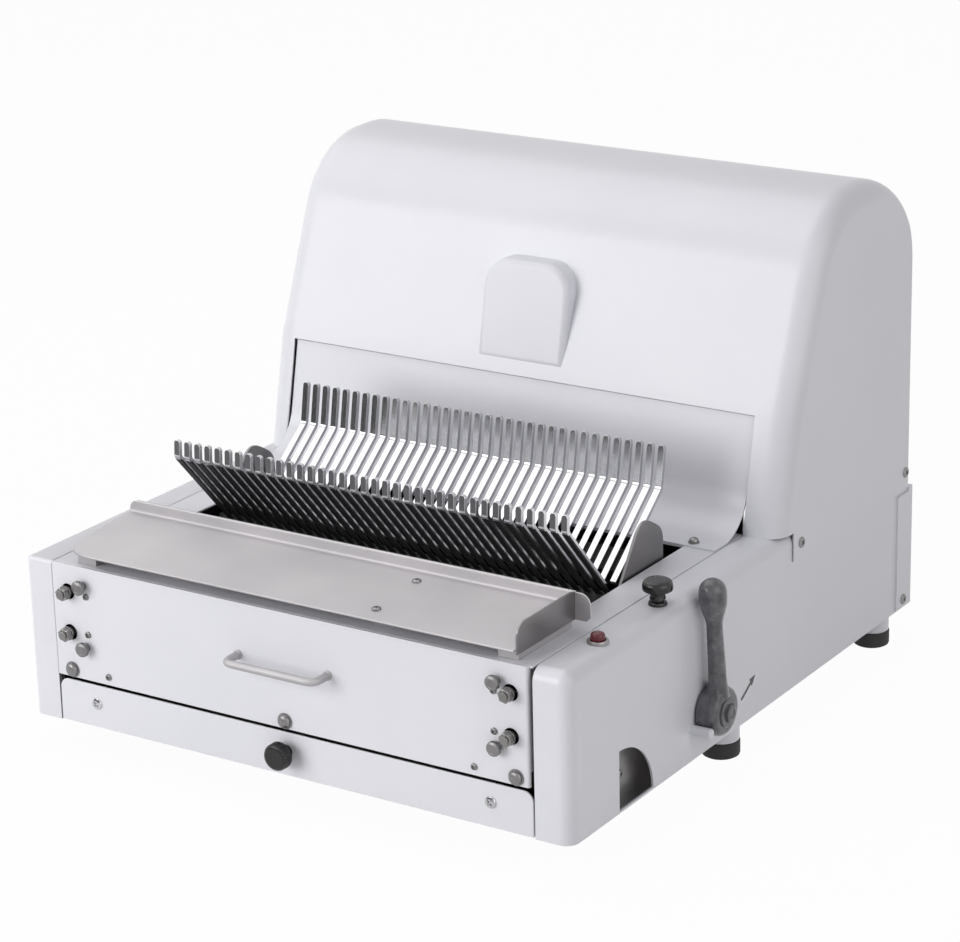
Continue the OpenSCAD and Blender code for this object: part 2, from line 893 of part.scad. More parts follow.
function under_slope(y) = trough_z + (y - trough_y) * tan(rear_slope) - finger_thickness / cos(rear_slope);

// Upright plates with a sloped front edge and rounded upper corners
module end_guides() {
    placed() color("lightgray")
        for (x = [rack_mid - guide_outer, rack_mid + guide_inner])
            along_x(x, x + guide_wall) hull() {
                translate([trough_y + guide_peak, base_height + guide_rise - guide_round])
                    circle(guide_round);
                translate([trough_y + guide_end - guide_round, base_height + guide_end_rise - guide_round])
                    circle(guide_round);
                translate([trough_y - guide_start, carrier_top]) square(guide_wall);
                translate([trough_y + guide_end - guide_wall, carrier_top]) square(guide_wall);
            }
}

module bush(x0, x1, y, z, d) {
    difference() {
        rod_x(x0, x1, y, z, d + 2 * bush_wall);
        rod_x(x0 - overrun, x1 + overrun, y, z, d + 2 * running_gap);
    }
}

module pivot_bushes() {
    placed() color("goldenrod") {
        bush(bay_left, bay_left + plate, pivot_y, pivot_z, pivot_diameter);
        bush(bay_right - plate, bay_right, pivot_y, pivot_z, pivot_diameter);
        bush(bay_right - plate, bay_right + 2 * plate, lever_y, lever_z, lever_shaft_diameter);
    }
}

module lever_shaft() {
    placed() color("silver") {
        rod_x(arm_in, hub_out, lever_y, lever_z, lever_shaft_diameter);
        link_arm(lever_y, lever_z, lever_shaft_diameter);
    }
}

module feed_lever() {
    flare_start = lever_length * flare_share;
    placed() color("gray") difference() {
        union() {
            rod_x(hub_in, hub_out, lever_y, lever_z, hub_diameter);
            translate([lever_x, lever_y, lever_z]) rotate([lever_lean, 0, 0]) {
                cylinder(d1 = lever_root, d2 = lever_neck, h = lever_length);
                translate([0, 0, flare_start])
                    cylinder(d1 = lever_neck, d2 = lever_bulb * flare_share, h = lever_length - flare_start);
                translate([0, 0, lever_length]) sphere(d = lever_bulb);
            }
        }
        rod_x(hub_in - overrun, hub_out + overrun, lever_y, lever_z, lever_shaft_diameter);
    }
}

// Fixed peg on the casing in front of the lever's hub
module stop_peg() {
    placed() color("white")
        rod_x(base_width - casing_wall, base_width + peg_reach, peg_y, peg_z, peg_diameter);
}

module lever_nut() {
    placed() color("silver") rod_x(hub_out, hub_out + hub_nut_length, lever_y, lever_z, hub_nut_diameter);
}

module drag_link() {
    low = [lever_y + arm_length, lever_z];
    high = [pivot_y + arm_length, pivot_z];
    side = left_of(unit(high - low)) * link_boss;
    placed() color("silver") difference() {
        union() {
            rod_x(link_in, link_out, low[0], low[1], 2 * link_boss);
            rod_x(link_in, link_out, high[0], high[1], 2 * link_boss);
            along_x(link_in, link_out) polygon([low + side, low - side, high - side, high + side]);
        }
        for (p = [low, high])
            rod_x(link_in - overrun, link_out + overrun, p[0], p[1], link_pin + 2 * running_gap);
    }
}

function blade_x(i) = rack_mid + (i - (blade_count - 1) / 2) * finger_pitch;

// Two cross bars bored for the guide rods, slotted for every second blade, with a lug at the back
module blade_frame(z, first, lug_x) {
    slot = blade_thickness / 2 + slot_side;
    difference() {
        union() {
            for (y = [front_bar_y, rear_bar_y])
                slab([rod_left - bar_lap, y, z - bar_height / 2],
                    [rod_right + bar_lap, y + bar_depth, z + bar_height / 2]);
            slab([lug_x - lug_width / 2, rear_bar_y + bar_depth, z - bar_height / 2],
                [lug_x + lug_width / 2, rear_bar_y + bar_depth + lug_length, z + bar_height / 2]);
        }
        left_right_rods(z, guide_rod_diameter, 0, base_depth);
        for (i = [first:2:blade_count - 1])
            slab([blade_x(i) - slot, front_bar_y + bar_depth - slot_depth, z - bar_height],
                [blade_x(i) + slot, rear_bar_y + slot_depth, z + bar_height]);
    }
}

// Strips with a foot at each end that stands in the slots
module blades(first, foot_z) {
    y0 = front_bar_y + bar_depth - slot_depth;
    y1 = rear_bar_y + slot_depth;
    foot = [slot_depth - seam, 0];
    strip = foot_z > blade_top ? blade_top : blade_low;
    far = foot_z > blade_top ? blade_low : blade_top;
    outline = [[y0, far], [y1, far], [y1, foot_z], [y1, foot_z] - foot, [y1 - foot[0], strip],
        [y0 + foot[0], strip], [y0, foot_z] + foot, [y0, foot_z]];
    for (i = [first:2:blade_count - 1])
        along_x(blade_x(i) - blade_thickness / 2, blade_x(i) + blade_thickness / 2) polygon(outline);
}

module guide_rods(z) {
    left_right_rods(z, guide_rod_diameter, rod_cap_length - rod_reach, rod_rear);
    left_right_rods(z, rod_cap, -rod_reach, rod_cap_length - rod_reach);
}

module blade_frame_a() {
    placed() color("dimgray") blade_frame(rod_high, 0, bay_mid - rod_spread);
}

module blades_a() {
    placed() color("silver") blades(0, rod_high + bar_height / 2);
}

module guide_rods_a() {
    placed() color("silver") guide_rods(rod_high);
}

module blade_frame_b() {
    placed() color("dimgray") blade_frame(rod_low, 1, bay_mid + rod_spread);
}

module blades_b() {
    placed() color("silver") blades(1, rod_low - bar_height / 2);
}

module guide_rods_b() {
    placed() color("silver") guide_rods(rod_low);
}

module rod_bushes() {
    middle = plate / 2;
    placed() color("goldenrod")
        for (y = [bulkhead_front + middle, bulkhead_rear + middle], z = [rod_low, rod_high])
            difference() {
                left_right_rods(z, rod_bush, y - bush_length / 2, y + bush_length / 2);
                left_right_rods(z, guide_rod_diameter + 2 * running_gap, y - bush_length, y + bush_length);
            }
}

module crankshaft() {
    placed() color("silver") rod_x(crank_left, pulley_out, crank_y, crank_z, crank_diameter);
}

module eccentric(x, throw) {
    difference() {
        rod_x(x - eccentric_width / 2, x + eccentric_width / 2, crank_y, crank_z + throw, eccentric_diameter);
        rod_x(x - eccentric_width, x + eccentric_width, crank_y, crank_z, crank_diameter);
    }
}

module eccentrics() {
    placed() color("gray") {
        eccentric(bay_mid - rod_spread, eccentric_throw);
        eccentric(bay_mid + rod_spread, -eccentric_throw);
    }
}

// Strap round an eccentric, with a fork that straddles the frame's lug
module connecting_rod(x, throw, lug_z) {
    half = eccentric_width / 2;
    strap_z = crank_z + throw;
    fork_z = lug_z + throw;
    fork_in = lug_width / 2 + tine_gap;
    fork_out = fork_in + tine_wall;
    strap = eccentric_diameter + 2 * strap_wall;
    difference() {
        union() {
            rod_x(x - half, x + half, crank_y, strap_z, strap);
            slab([x - half, web_start, strap_z - half], [x + half, crank_y, strap_z + half]);
            slab([x - fork_out, web_start, min(fork_z, strap_z) - tine_height / 2],
                [x + fork_out, web_start + web_depth, max(fork_z, strap_z) + tine_height / 2]);
            for (side = [-1, 1])
                slab([x + (side < 0 ? -fork_out : fork_in), tine_start, fork_z - tine_height / 2],
                    [x + (side < 0 ? -fork_in : fork_out), web_start + web_depth, fork_z + tine_height / 2]);
        }
        rod_x(x - eccentric_width, x + eccentric_width, crank_y, strap_z,
            eccentric_diameter + 2 * running_gap);
    }
}

module connecting_rod_a() {
    placed() color("gray") connecting_rod(bay_mid - rod_spread, eccentric_throw, rod_high);
}

module connecting_rod_b() {
    placed() color("gray") connecting_rod(bay_mid + rod_spread, -eccentric_throw, rod_low);
}

module crank_bearings() {
    radius = crank_diameter / 2 + bearing_cap;
    placed() color("dimgray")
        for (x = [bay_mid - bearing_spread - bearing_width, bay_mid + bearing_spread])
            difference() {
                union() {
                    slab([x, crank_y - bearing_depth / 2, plate],
                        [x + bearing_width, crank_y + bearing_depth / 2, crank_z]);
                    rod_x(x, x + bearing_width, crank_y, crank_z, 2 * radius - 2 * bush_wall);
                }
                rod_x(x - overrun, x + bearing_width + overrun, crank_y, crank_z,
                    crank_diameter + 2 * running_gap);
            }
}

// Grooved disc on an axis along X
module pulley(y, z, d, bore) {
    half = pulley_width / 2;
    slot = groove_width / 2;
    floor_radius = d / 2 - groove_depth;
    translate([pulley_mid, y, z]) rotate([0, 90, 0]) rotate_extrude()
        polygon([[bore / 2, -half], [d / 2, -half], [d / 2, -slot], [floor_radius, -slot],
            [floor_radius, slot], [d / 2, slot], [d / 2, half], [bore / 2, half]]);
}

module driven_pulley() {
    placed() color("gray") pulley(crank_y, crank_z, driven_pulley_diameter, crank_diameter);
}

module motor_pulley() {
    placed() color("gray") pulley(motor_y, motor_z, motor_pulley_diameter, motor_shaft_diameter);
}

module belt_loop(grow) {
    hull() {
        translate([crank_y, crank_z]) circle(driven_pulley_diameter / 2 - groove_depth + grow);
        translate([motor_y, motor_z]) circle(motor_pulley_diameter / 2 - groove_depth + grow);
    }
}

module drive_belt() {
    placed() color("black") along_x(pulley_mid - belt_width / 2, pulley_mid + belt_width / 2)
        difference() {
            belt_loop(slide_gap + belt_wall);
            belt_loop(slide_gap);
        }
}

module motor_shaft() {
    placed() color("silver")
        rod_x(motor_right - shaft_seat, pulley_out, motor_y, motor_z, motor_shaft_diameter);
}

// Ribbed drum between two end bells, on a saddle foot
module motor() {
    placed() color("slategray") difference() {
        union() {
            rod_x(motor_left, motor_right, motor_y, motor_z, motor_diameter - 2 * rib_depth);
            for (i = [0:rib_count - 1])
                translate([motor_left, motor_y, motor_z]) rotate([i * 360 / rib_count, 0, 0])
                    translate([0, -rib_width / 2, motor_diameter / 4])
                    cube([motor_length, rib_width, motor_diameter / 4]);
            rod_x(motor_left - bell_length, motor_left, motor_y, motor_z, bell_diameter);
            rod_x(motor_right, motor_right + bell_length, motor_y, motor_z, bell_diameter);
            for (x = [motor_left + saddle_length, motor_right - 2 * saddle_length])
                slab([x, motor_y - saddle_width / 2, shelf_top],
                    [x + saddle_length, motor_y + saddle_width / 2, motor_z - motor_diameter / 4]);
        }
        rod_x(motor_right - shaft_seat - overrun, pulley_out, motor_y, motor_z,
            motor_shaft_diameter + 2 * running_gap);
    }
}

// Shelf on two legs that stand on the bottom plate
module motor_stand() {
    left = motor_left - shelf_lap;
    right = motor_right + shelf_lap;
    front = motor_y - shelf_front;
    rear = motor_y + shelf_rear;
    placed() color("gainsboro") {
        slab([left, front, shelf_top - shelf_wall], [right, rear, shelf_top]);
        for (x = [left, right - shelf_wall])
            slab([x, leg_y, plate], [x + shelf_wall, rear, shelf_top]);
    }
}

// Space in front of the guard panel's face, grown by t
module guard_space(t) {
    foot = base_height + guard_wall - t;
    top = base_height + guard_height + overrun;
    reach = guard_fillet + t;
    translate([guard_cy, guard_cz]) circle(reach);
    polygon([[hole_rear - overrun, foot], [guard_cy, foot],
        [guard_cy + reach * cos(lean), guard_cz - reach * sin(lean)],
        [guard_y(top) + t / cos(lean), top], [hole_rear - overrun, top]]);
}

module guard_panel() {
    placed() color("white") difference() {
        along_x(guard_left + guard_seam, guard_right - guard_seam) difference() {
            intersection() {
                guard_space(guard_wall);
                translate([hole_rear, base_height]) square([hood_depth, guard_height - guard_seam]);
            }
            guard_space(0);
        }
        for (x = [bay_left + guard_screw_in, bay_right - guard_screw_in])
            rod_z(x, hole_rear + guard_screw_set, base_height - overrun, base_height + 2 * guard_wall,
                screw_shank);
    }
}

module guard_screws() {
    top = base_height + guard_wall;
    placed() color("silver")
        for (x = [bay_left + guard_screw_in, bay_right - guard_screw_in]) {
            rod_z(x, hole_rear + guard_screw_set, top, top + guard_screw_rise, guard_screw_head);
            rod_z(x, hole_rear + guard_screw_set, deck_under, top, screw_shank);
        }
}

// Side outline of the hood, drawn in by the given amount, down to the given height
module hood_profile(inset, low) {
    translate(dome_front) circle(dome_front_radius - inset);
    translate(dome_rear) circle(dome_rear_radius - inset);
    polygon([hood_line(low, inset), hood_knee(inset), hood_touch(inset),
        dome_front + [0, dome_front_radius - inset], dome_rear + [0, dome_rear_radius - inset],
        dome_rear + [dome_rear_radius - inset, 0], [hood_back - inset, low]]);
}

function hood_line(z, inset) =
    [hood_front + inset / cos(lean) + (z - base_height) * tan(lean), z];
function upper_front(z) = knee[0] + (z - knee[1]) / tan(knee_angle);
function hood_knee(inset) = knee + mitre(knee_low_side, knee_high_side) * inset;
function hood_touch(inset) = dome_front - knee_high_side * (dome_front_radius - inset);

// Upright block leaned back about a point of the front outline, its front edges rounded
module lean_block(at, angle, inset) {
    reach = hood_depth + hood_rise;
    w = base_width + 2 * hood_wall - 2 * inset;
    translate([inset - hood_wall, at[0], at[1]]) rotate([-angle, 0, 0])
        translate([0, inset - edge_clear + 2 * reach, -reach]) mirror([0, 1, 0])
        linear_extrude(2 * reach) soft_top(w, 2 * reach, hood_edge_radius - inset);
}

// Hood form with its side edges rounded round the front and the dome
module hood_form(inset, low) {
    intersection() {
        along_x(inset - hood_wall, base_width + hood_wall - inset) hood_profile(inset, low);
        lean_block([hood_front, base_height], lean, inset);
        intersection_for (share = edge_shares) {
            angle = (1 - share) * (90 - knee_angle) + share * 90;
            lean_block(dome_front - dome_front_radius * [cos(angle), -sin(angle)], angle, inset);
        }
    }
}

module hood() {
    boss_x = bay_mid - boss_width / 2;
    boss_z = base_height + boss_low;
    boss_top = boss_z + boss_rise;
    low = base_height - skirt_drop;
    skirt_y = hood_front + skirt_set;
    middle = hood_front + hood_depth / 2;
    placed() color("white") difference() {
        union() {
            hood_form(0, low);
            intersection() {
                along_x(boss_x, boss_x + boss_width)
                    polygon([[upper_front(boss_z) - boss_foot, boss_z],
                        [upper_front(boss_top) - boss_proud, boss_top], [middle, boss_top], [middle, boss_z]]);
                translate([boss_x, 0, boss_z]) along_y(0, middle)
                    soft_top(boss_width, boss_rise, boss_round);
            }
        }
        hood_form(hood_wall, low - overrun);
        slab([guard_left, 0, 0], [guard_right, middle, base_height + guard_height]);
        slab([-hood_wall - overrun, 0, 0], [base_width + hood_wall + overrun, skirt_y, base_height]);
        for (side = [-1, 1], spot = [skirt_spot, corner_spot])
            side_rod(outer_face(side) + side * overrun, inner_face(side), spot, screw_shank);
    }
}

function outer_face(side) = side < 0 ? -hood_wall : base_width + hood_wall;
function inner_face(side) = side < 0 ? casing_wall : base_width - casing_wall;

// Bar along X between two faces, in either order
module side_rod(from, to, spot, d) {
    rod_x(min(from, to), max(from, to), spot[0], spot[1], d);
}

// Screws through the outer sheets on both sides into the casings
module side_screws() {
    placed() color("silver")
        for (side = [-1, 1], spot = [skirt_spot, corner_spot, strap_spot]) {
            face = outer_face(side);
            side_rod(face, face + side * side_screw_rise, spot, side_screw_head);
            side_rod(face, inner_face(side), spot, screw_shank);
        }
}

// Back plate with a short flange round each side
module rear_cover() {
    plate_top = base_height - skirt_drop - seam;
    strap_top = base_height - skirt_drop - strap_gap;
    placed() color("white") difference() {
        union() {
            slab([-hood_wall, base_depth - strap_length, strap_low],
                [base_width + hood_wall, cover_back, strap_top]);
            slab([-hood_wall, base_depth, strap_low], [base_width + hood_wall, cover_back, plate_top]);
        }
        slab([0, 0, 0], [base_width, cover_back - hood_wall, plate_top - hood_wall]);
        slab([0, 0, 0], [base_width, base_depth, base_height]);
        rod_y(gland_x, base_depth - overrun, cover_back + overrun, gland_z, gland_diameter);
        for (i = [0:vent_count - 1])
            slab([bay_right - drawer_side - i * vent_pitch - vent_width, base_depth - overrun, vent_z],
                [bay_right - drawer_side - i * vent_pitch, cover_back + overrun, vent_z + vent_length]);
        for (side = [-1, 1])
            side_rod(outer_face(side) + side * overrun, inner_face(side), strap_spot, screw_shank);
    }
}

module cable_gland() {
    back = cover_back;
    placed() color("black") difference() {
        union() {
            rod_y(gland_x, back - hood_wall, back + gland_length, gland_z, gland_diameter);
            rod_y(gland_x, back, back + gland_nut_length, gland_z, gland_nut);
        }
        rod_y(gland_x, base_depth - overrun, back + gland_length + overrun, gland_z, gland_bore);
    }
}

// Threaded barrel through the casing's top, with a rim
module barrel(y, d, rim, rise) {
    difference() {
        union() {
            rod_z(switch_x, y, base_height, base_height + rise, rim);
            rod_z(switch_x, y, base_height - barrel_length, base_height, barrel_diameter(d));
        }
        rod_z(switch_x, y, 0, hood_top, d + 2 * slide_gap);
    }
}

module stop_button() {
    placed() color("firebrick")
        rod_z(switch_x, button_y, base_height - button_depth, base_height + button_rise, button_diameter);
}

module button_bezel() {
    rim = barrel_diameter(button_diameter) + 2 * bezel_wall;
    placed() color("silver") barrel(button_y, button_diameter, rim, bezel_rise);
}

module button_switch() {
    top = base_height - barrel_length;
    placed() color("black")
        for (y = [button_y, knob_y])
            slab([switch_x - switch_size / 2, y - switch_size / 2, top - switch_height],
                [switch_x + switch_size / 2, y + switch_size / 2, top]);
}

module start_knob() {
    foot = base_height + collar_rise + knob_travel + slide_gap;
    cap_low = foot + neck_length;
    placed() color("black") translate([switch_x, knob_y, 0]) rotate_extrude() {
        translate([0, base_height - stem_depth]) square([stem_diameter / 2, foot + stem_depth - base_height]);
        translate([0, foot]) square([neck_diameter / 2, neck_length]);
        translate([0, cap_low]) soft_corner(cap_diameter / 2, cap_rise, cap_round);
    }
}

module knob_collar() {
    placed() color("black") barrel(knob_y, stem_diameter, collar_diameter, collar_rise);
}

// Quarter-round finger pocket in the right casing
module grip_recess() {
    out = base_width - casing_wall;
    low = out - grip_depth;
    back = grip_y + grip_radius;
    placed() color("silver") difference() {
        intersection() {
            rod_x(low, out, grip_y, 0, 2 * (grip_radius + grip_wall));
            slab([low, grip_y - grip_wall, 0], [out, back + grip_wall, grip_radius + grip_wall]);
        }
        intersection() {
            rod_x(low + grip_wall, out + overrun, grip_y, 0, 2 * grip_radius);
            slab([low, grip_y, -overrun], [out + overrun, back, grip_radius]);
        }
        rod_x(low - overrun, out, grip_y + grip_screw_y, grip_screw_z, screw_shank);
    }
}

module grip_screw() {
    floor_x = base_width - casing_wall - grip_depth + grip_wall;
    placed() color("silver") {
        rod_x(floor_x, floor_x + screw_rise, grip_y + grip_screw_y, grip_screw_z, screw_head);
        rod_x(floor_x - grip_wall, floor_x, grip_y + grip_screw_y, grip_screw_z, screw_shank);
    }
}

module at_feet() {
    for (x = [foot_x_left, foot_x_right], y = [foot_y_front, foot_y_rear])
        translate([x, y, 0]) children();
}

module foot_necks() {
    placed() color("white") at_feet() {
        translate([0, 0, pad_height - foot_height]) cylinder(d = foot_neck, h = foot_height - pad_height);
        cylinder(d = screw_shank, h = plate);
    }
}

module rubber_feet() {
    placed() color("black") at_feet() translate([0, 0, -foot_height])
        cylinder(d = foot_diameter, h = pad_height);
}

chassis();
left_casing();
right_casing();
top_deck();
front_cover();
cover_handle();
cover_thumb_nuts();
cover_screws();
cover_bolts();
crumb_drawer();
drawer_knob();
drawer_screws();
bagging_tray();
tray_brackets();
tray_screws();
front_fingers();
front_rack_bar();
rack_arm();
rear_fingers();
rear_rack_bar();
end_guides();
pivot_bushes();
lever_shaft();
feed_lever();
lever_nut();
stop_peg();
drag_link();
blade_frame_a();
blades_a();
guide_rods_a();
blade_frame_b();
blades_b();
guide_rods_b();
rod_bushes();
crankshaft();
eccentrics();
connecting_rod_a();
connecting_rod_b();
crank_bearings();
driven_pulley();
drive_belt();
motor_pulley();
motor_shaft();
motor();
motor_stand();
guard_panel();
guard_screws();
hood();
side_screws();
rear_cover();
cable_gland();
stop_button();
button_bezel();
button_switch();
start_knob();
knob_collar();
grip_recess();
grip_screw();
foot_necks();
rubber_feet();
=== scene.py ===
import json
import math

import bmesh
import bpy
from mathutils import Matrix, Vector


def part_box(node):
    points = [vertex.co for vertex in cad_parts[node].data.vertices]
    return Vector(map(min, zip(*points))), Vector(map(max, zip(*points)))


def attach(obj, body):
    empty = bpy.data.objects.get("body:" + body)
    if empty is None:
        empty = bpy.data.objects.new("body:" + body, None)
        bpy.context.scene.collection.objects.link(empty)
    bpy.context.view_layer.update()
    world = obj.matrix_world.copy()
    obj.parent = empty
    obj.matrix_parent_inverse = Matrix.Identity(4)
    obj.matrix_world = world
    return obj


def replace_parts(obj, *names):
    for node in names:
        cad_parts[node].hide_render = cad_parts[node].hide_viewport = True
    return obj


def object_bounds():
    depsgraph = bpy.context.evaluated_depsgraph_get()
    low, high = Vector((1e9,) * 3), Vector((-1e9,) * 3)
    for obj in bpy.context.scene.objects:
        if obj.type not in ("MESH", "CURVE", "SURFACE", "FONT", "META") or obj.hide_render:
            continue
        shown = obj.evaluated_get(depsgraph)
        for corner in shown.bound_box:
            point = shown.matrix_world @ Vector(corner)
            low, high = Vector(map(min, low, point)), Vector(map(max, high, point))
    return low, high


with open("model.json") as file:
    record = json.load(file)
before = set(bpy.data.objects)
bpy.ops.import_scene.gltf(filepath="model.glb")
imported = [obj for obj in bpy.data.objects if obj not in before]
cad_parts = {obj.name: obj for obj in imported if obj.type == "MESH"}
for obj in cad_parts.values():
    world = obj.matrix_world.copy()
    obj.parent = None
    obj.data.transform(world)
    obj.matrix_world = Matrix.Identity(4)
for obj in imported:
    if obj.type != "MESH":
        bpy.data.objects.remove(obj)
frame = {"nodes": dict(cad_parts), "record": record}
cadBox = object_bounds()
mm = 0.001
corner = Vector(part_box("left_casing")[0])  # front lower left corner of the base


def toFrame(x, y, z):  # millimetres from the base's corner, to metres in the shared frame
    return corner + Vector((x, y, z)) * mm


def boxOf(node):  # lowest and highest corner of a solid, in millimetres from the base's corner
    low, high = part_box(node)
    return (low - corner) / mm, (high - corner) / mm


def middleOf(node):
    low, high = boxOf(node)
    return (low + high) / 2


def hexLinear(text):  # colour of a screen, as the light it stands for
    parts = [int(text[i:i + 2], 16) / 255 for i in (0, 2, 4)]
    return [c / 12.92 if c <= 0.04045 else ((c + 0.055) / 1.055) ** 2.4 for c in parts] + [1.0]


def addNode(tree, kind, settings=None, links=None):
    made = tree.nodes.new(kind)
    for key, value in (settings or {}).items():
        if isinstance(key, int) or key in made.inputs:
            made.inputs[key].default_value = value
        else:
            setattr(made, key, value)
    for key, source in (links or {}).items():
        tree.links.new(source, made.inputs[key])
    return made


def newMaterial(name):
    material = bpy.data.materials.new(name)
    material.use_nodes = True
    tree = material.node_tree
    tree.nodes.clear()
    place = addNode(tree, "ShaderNodeTexCoord").outputs["Object"]
    return material, tree, place


def closeMaterial(tree, shader):
    addNode(tree, "ShaderNodeOutputMaterial", links={"Surface": shader.outputs[0]})


# Finishes

cloudRange = {"From Min": 0.3, "From Max": 0.7}  # where most of the noise lies
markDepth = 0.1  # depth of a grain or a line, as a share of its width


def closeFinish(tree, noises, colours, roughness, markMm, markBump, settings):
    cloud, worn, marks = [noise.outputs["Fac"] for noise in noises]  # for colour, roughness and bump
    first, second = [hexLinear(colour) for colour in colours]
    spread = addNode(tree, "ShaderNodeMapRange", cloudRange, {"Value": cloud})
    tint = addNode(tree, "ShaderNodeMix", {"data_type": "RGBA", 6: first, 7: second},
                   {0: spread.outputs["Result"]})
    rough = addNode(tree, "ShaderNodeMapRange", {"To Min": roughness[0], "To Max": roughness[1]},
                    {"Value": worn})
    bump = addNode(tree, "ShaderNodeBump", {"Strength": markBump, "Distance": markDepth * markMm * mm},
                   {"Height": marks})
    shader = addNode(tree, "ShaderNodeBsdfPrincipled", settings,
                     {"Base Color": tint.outputs[2], "Roughness": rough.outputs["Result"],
                      "Normal": bump.outputs["Normal"]})
    closeMaterial(tree, shader)


def sprayedFinish(name, colours, roughness, cloudMm, grainMm, grainBump, coat=0.0, metallic=0.0):
    material, tree, place = newMaterial(name)
    cloud = addNode(tree, "ShaderNodeTexNoise", {"Scale": 1 / (cloudMm * mm), "Detail": 3.0},
                    {"Vector": place})
    grain = addNode(tree, "ShaderNodeTexNoise", {"Scale": 1 / (grainMm * mm), "Detail": 0.0},
                    {"Vector": place})
    settings = {"IOR": 1.5, "Metallic": metallic, "Coat Weight": coat, "Coat Roughness": 0.2}
    closeFinish(tree, (cloud, cloud, grain), colours, roughness, grainMm, grainBump, settings)
    return material


metalCloudMm = 80


def drawnMetal(name, colours, roughness, stretch, lineMm, lineBump):
    material, tree, place = newMaterial(name)
    scaled = addNode(tree, "ShaderNodeMapping", {"Scale": [s / (lineMm * mm) for s in stretch]},
                     {"Vector": place})
    lines = addNode(tree, "ShaderNodeTexNoise", {"Scale": 1.0, "Detail": 4.0},
                    {"Vector": scaled.outputs["Vector"]})
    cloud = addNode(tree, "ShaderNodeTexNoise", {"Scale": 1 / (metalCloudMm * mm), "Detail": 2.0},
                    {"Vector": place})
    closeFinish(tree, (cloud, lines, lines), colours, roughness, lineMm, lineBump, {"Metallic": 1.0})
    return material


alongX, alongY, turned = (0.02, 1, 1), (1, 0.04, 0.04), (1, 1, 1)  # scale of the lines on each axis
finish = {
    # baked enamel on sheet steel: cool white, even, with a soft sheen and a faint orange peel
    "white_enamel": sprayedFinish("bakedEnamel", ("e2e2e9", "e7e7ed"), (0.34, 0.4), 160, 6, 0.03,
                                  coat=0.15),
    # zinc plate inside the base, coloured nearly black as painted shade for the dark inside: dull, with soft
    # clouds
    "zinc_sheet": sprayedFinish("blackZincPlate", ("141415", "1f1f20"), (0.5, 0.65), 60, 6, 0.2),
    # stainless sheet, brushed along its length: fine streaks that spread the highlight
    "stainless": drawnMetal("brushedStainless", ("afadaf", "b9b6b8"), (0.56, 0.68), alongX, 0.8, 0.4),
    # turned steel heads: grey, with a few faint turning marks; on the tray's flap and the grip's cup, its
    # darker grey is painted shade
    "polished_steel": drawnMetal("turnedSteel", ("7d7b7c", "929091"), (0.3, 0.4), turned, 1.5, 0.06),
    # bright drawn flat bar: clear reflections with draw lines along its length
    "finger_steel": drawnMetal("brightFlatBar", ("b4b4b7", "d0d0d3"), (0.08, 0.16), alongY, 0.9, 0.3),
    # ground steel bar: satin, darkened by oil
    "ground_steel": drawnMetal("groundSteel", ("7d7b7a", "949291"), (0.22, 0.36), alongY, 0.6, 0.6),
    # hardened blade strip: ground faces, darker than the fingers
    "blade_steel": drawnMetal("bladeStrip", ("55575a", "6a6c6f"), (0.28, 0.4), alongY, 0.6, 0.6),
    # satin near-black on steel bar: painted shade for the inner bars and the front rack's undersides
    "bar_steel": sprayedFinish("blackBarPaint", ("0b0b0c", "141415"), (0.5, 0.62), 40, 2, 0.3),
    # grey hammered paint on a casting: glossy and mottled where hands have worn it
    "lever_casting": sprayedFinish("hammeredGreyPaint", ("4d4b50", "706e73"), (0.18, 0.32), 9, 2.5, 0.4),
    # machined cast iron: dark grey with open grain
    "machine_iron": sprayedFinish("machinedIron", ("4a4a4c", "5c5c5e"), (0.4, 0.58), 30, 1.6, 0.8,
                                  metallic=0.8),
    # motor paint: blue grey satin
    "motor_paint": sprayedFinish("motorPaint", ("4c555c", "586169"), (0.38, 0.5), 50, 2, 0.5),
    # bearing bronze: warm, turned
    "bush_bronze": drawnMetal("bearingBronze", ("a9834a", "bd9658"), (0.25, 0.38), turned, 0.8, 0.5),
    # moulded black phenolic: satin with a fine skin
    "black_plastic": sprayedFinish("blackPhenolic", ("070708", "0e0e10"), (0.2, 0.3), 15, 1.2, 0.2),
    # moulded red ABS: glossy, deep red
    "red_plastic": sprayedFinish("redAbs", ("560a1a", "650d20"), (0.22, 0.3), 12, 1.4, 0.2),
    # moulded black rubber: dull with fine grain
    "black_rubber": sprayedFinish("blackRubber", ("121213", "1c1c1d"), (0.6, 0.75), 12, 0.9, 0.8),
    # belt rubber: dull and dusty
    "belt_rubber": sprayedFinish("beltRubber", ("1c1c1c", "2a2a2a"), (0.65, 0.8), 20, 1.2, 0.8),
}
slotOf = {part["node"]: part["material_slot"] for part in frame["record"]["subparts"]}
bodyOf = {node: body for body, names in frame["record"]["behaviour"]["bodies"].items() for node in names}
for node, thing in frame["nodes"].items():
    thing.data.materials.clear()
    thing.data.materials.append(finish[slotOf[node]])
print("finishes on", len(frame["nodes"]), "solids")


# Mesh making, in millimetres from the base's corner

toFront, toBack, toRight, toLeft, upward = (0, -1, 0), (0, 1, 0), (1, 0, 0), (-1, 0, 0), (0, 0, 1)


def meshOf(name, points, faces):
    mesh = bpy.data.meshes.new(name)
    mesh.from_pydata([tuple(toFrame(*p)) for p in points], [], faces)
    work = bmesh.new()
    work.from_mesh(mesh)
    bmesh.ops.remove_doubles(work, verts=work.verts, dist=0.001 * mm)
    bmesh.ops.recalc_face_normals(work, faces=work.faces)
    work.to_mesh(mesh)
    work.free()
    return mesh


def smoothShade(mesh, angle):
    for polygon in mesh.polygons:
        polygon.use_smooth = True
    mesh.set_sharp_from_angle(angle=math.radians(angle))


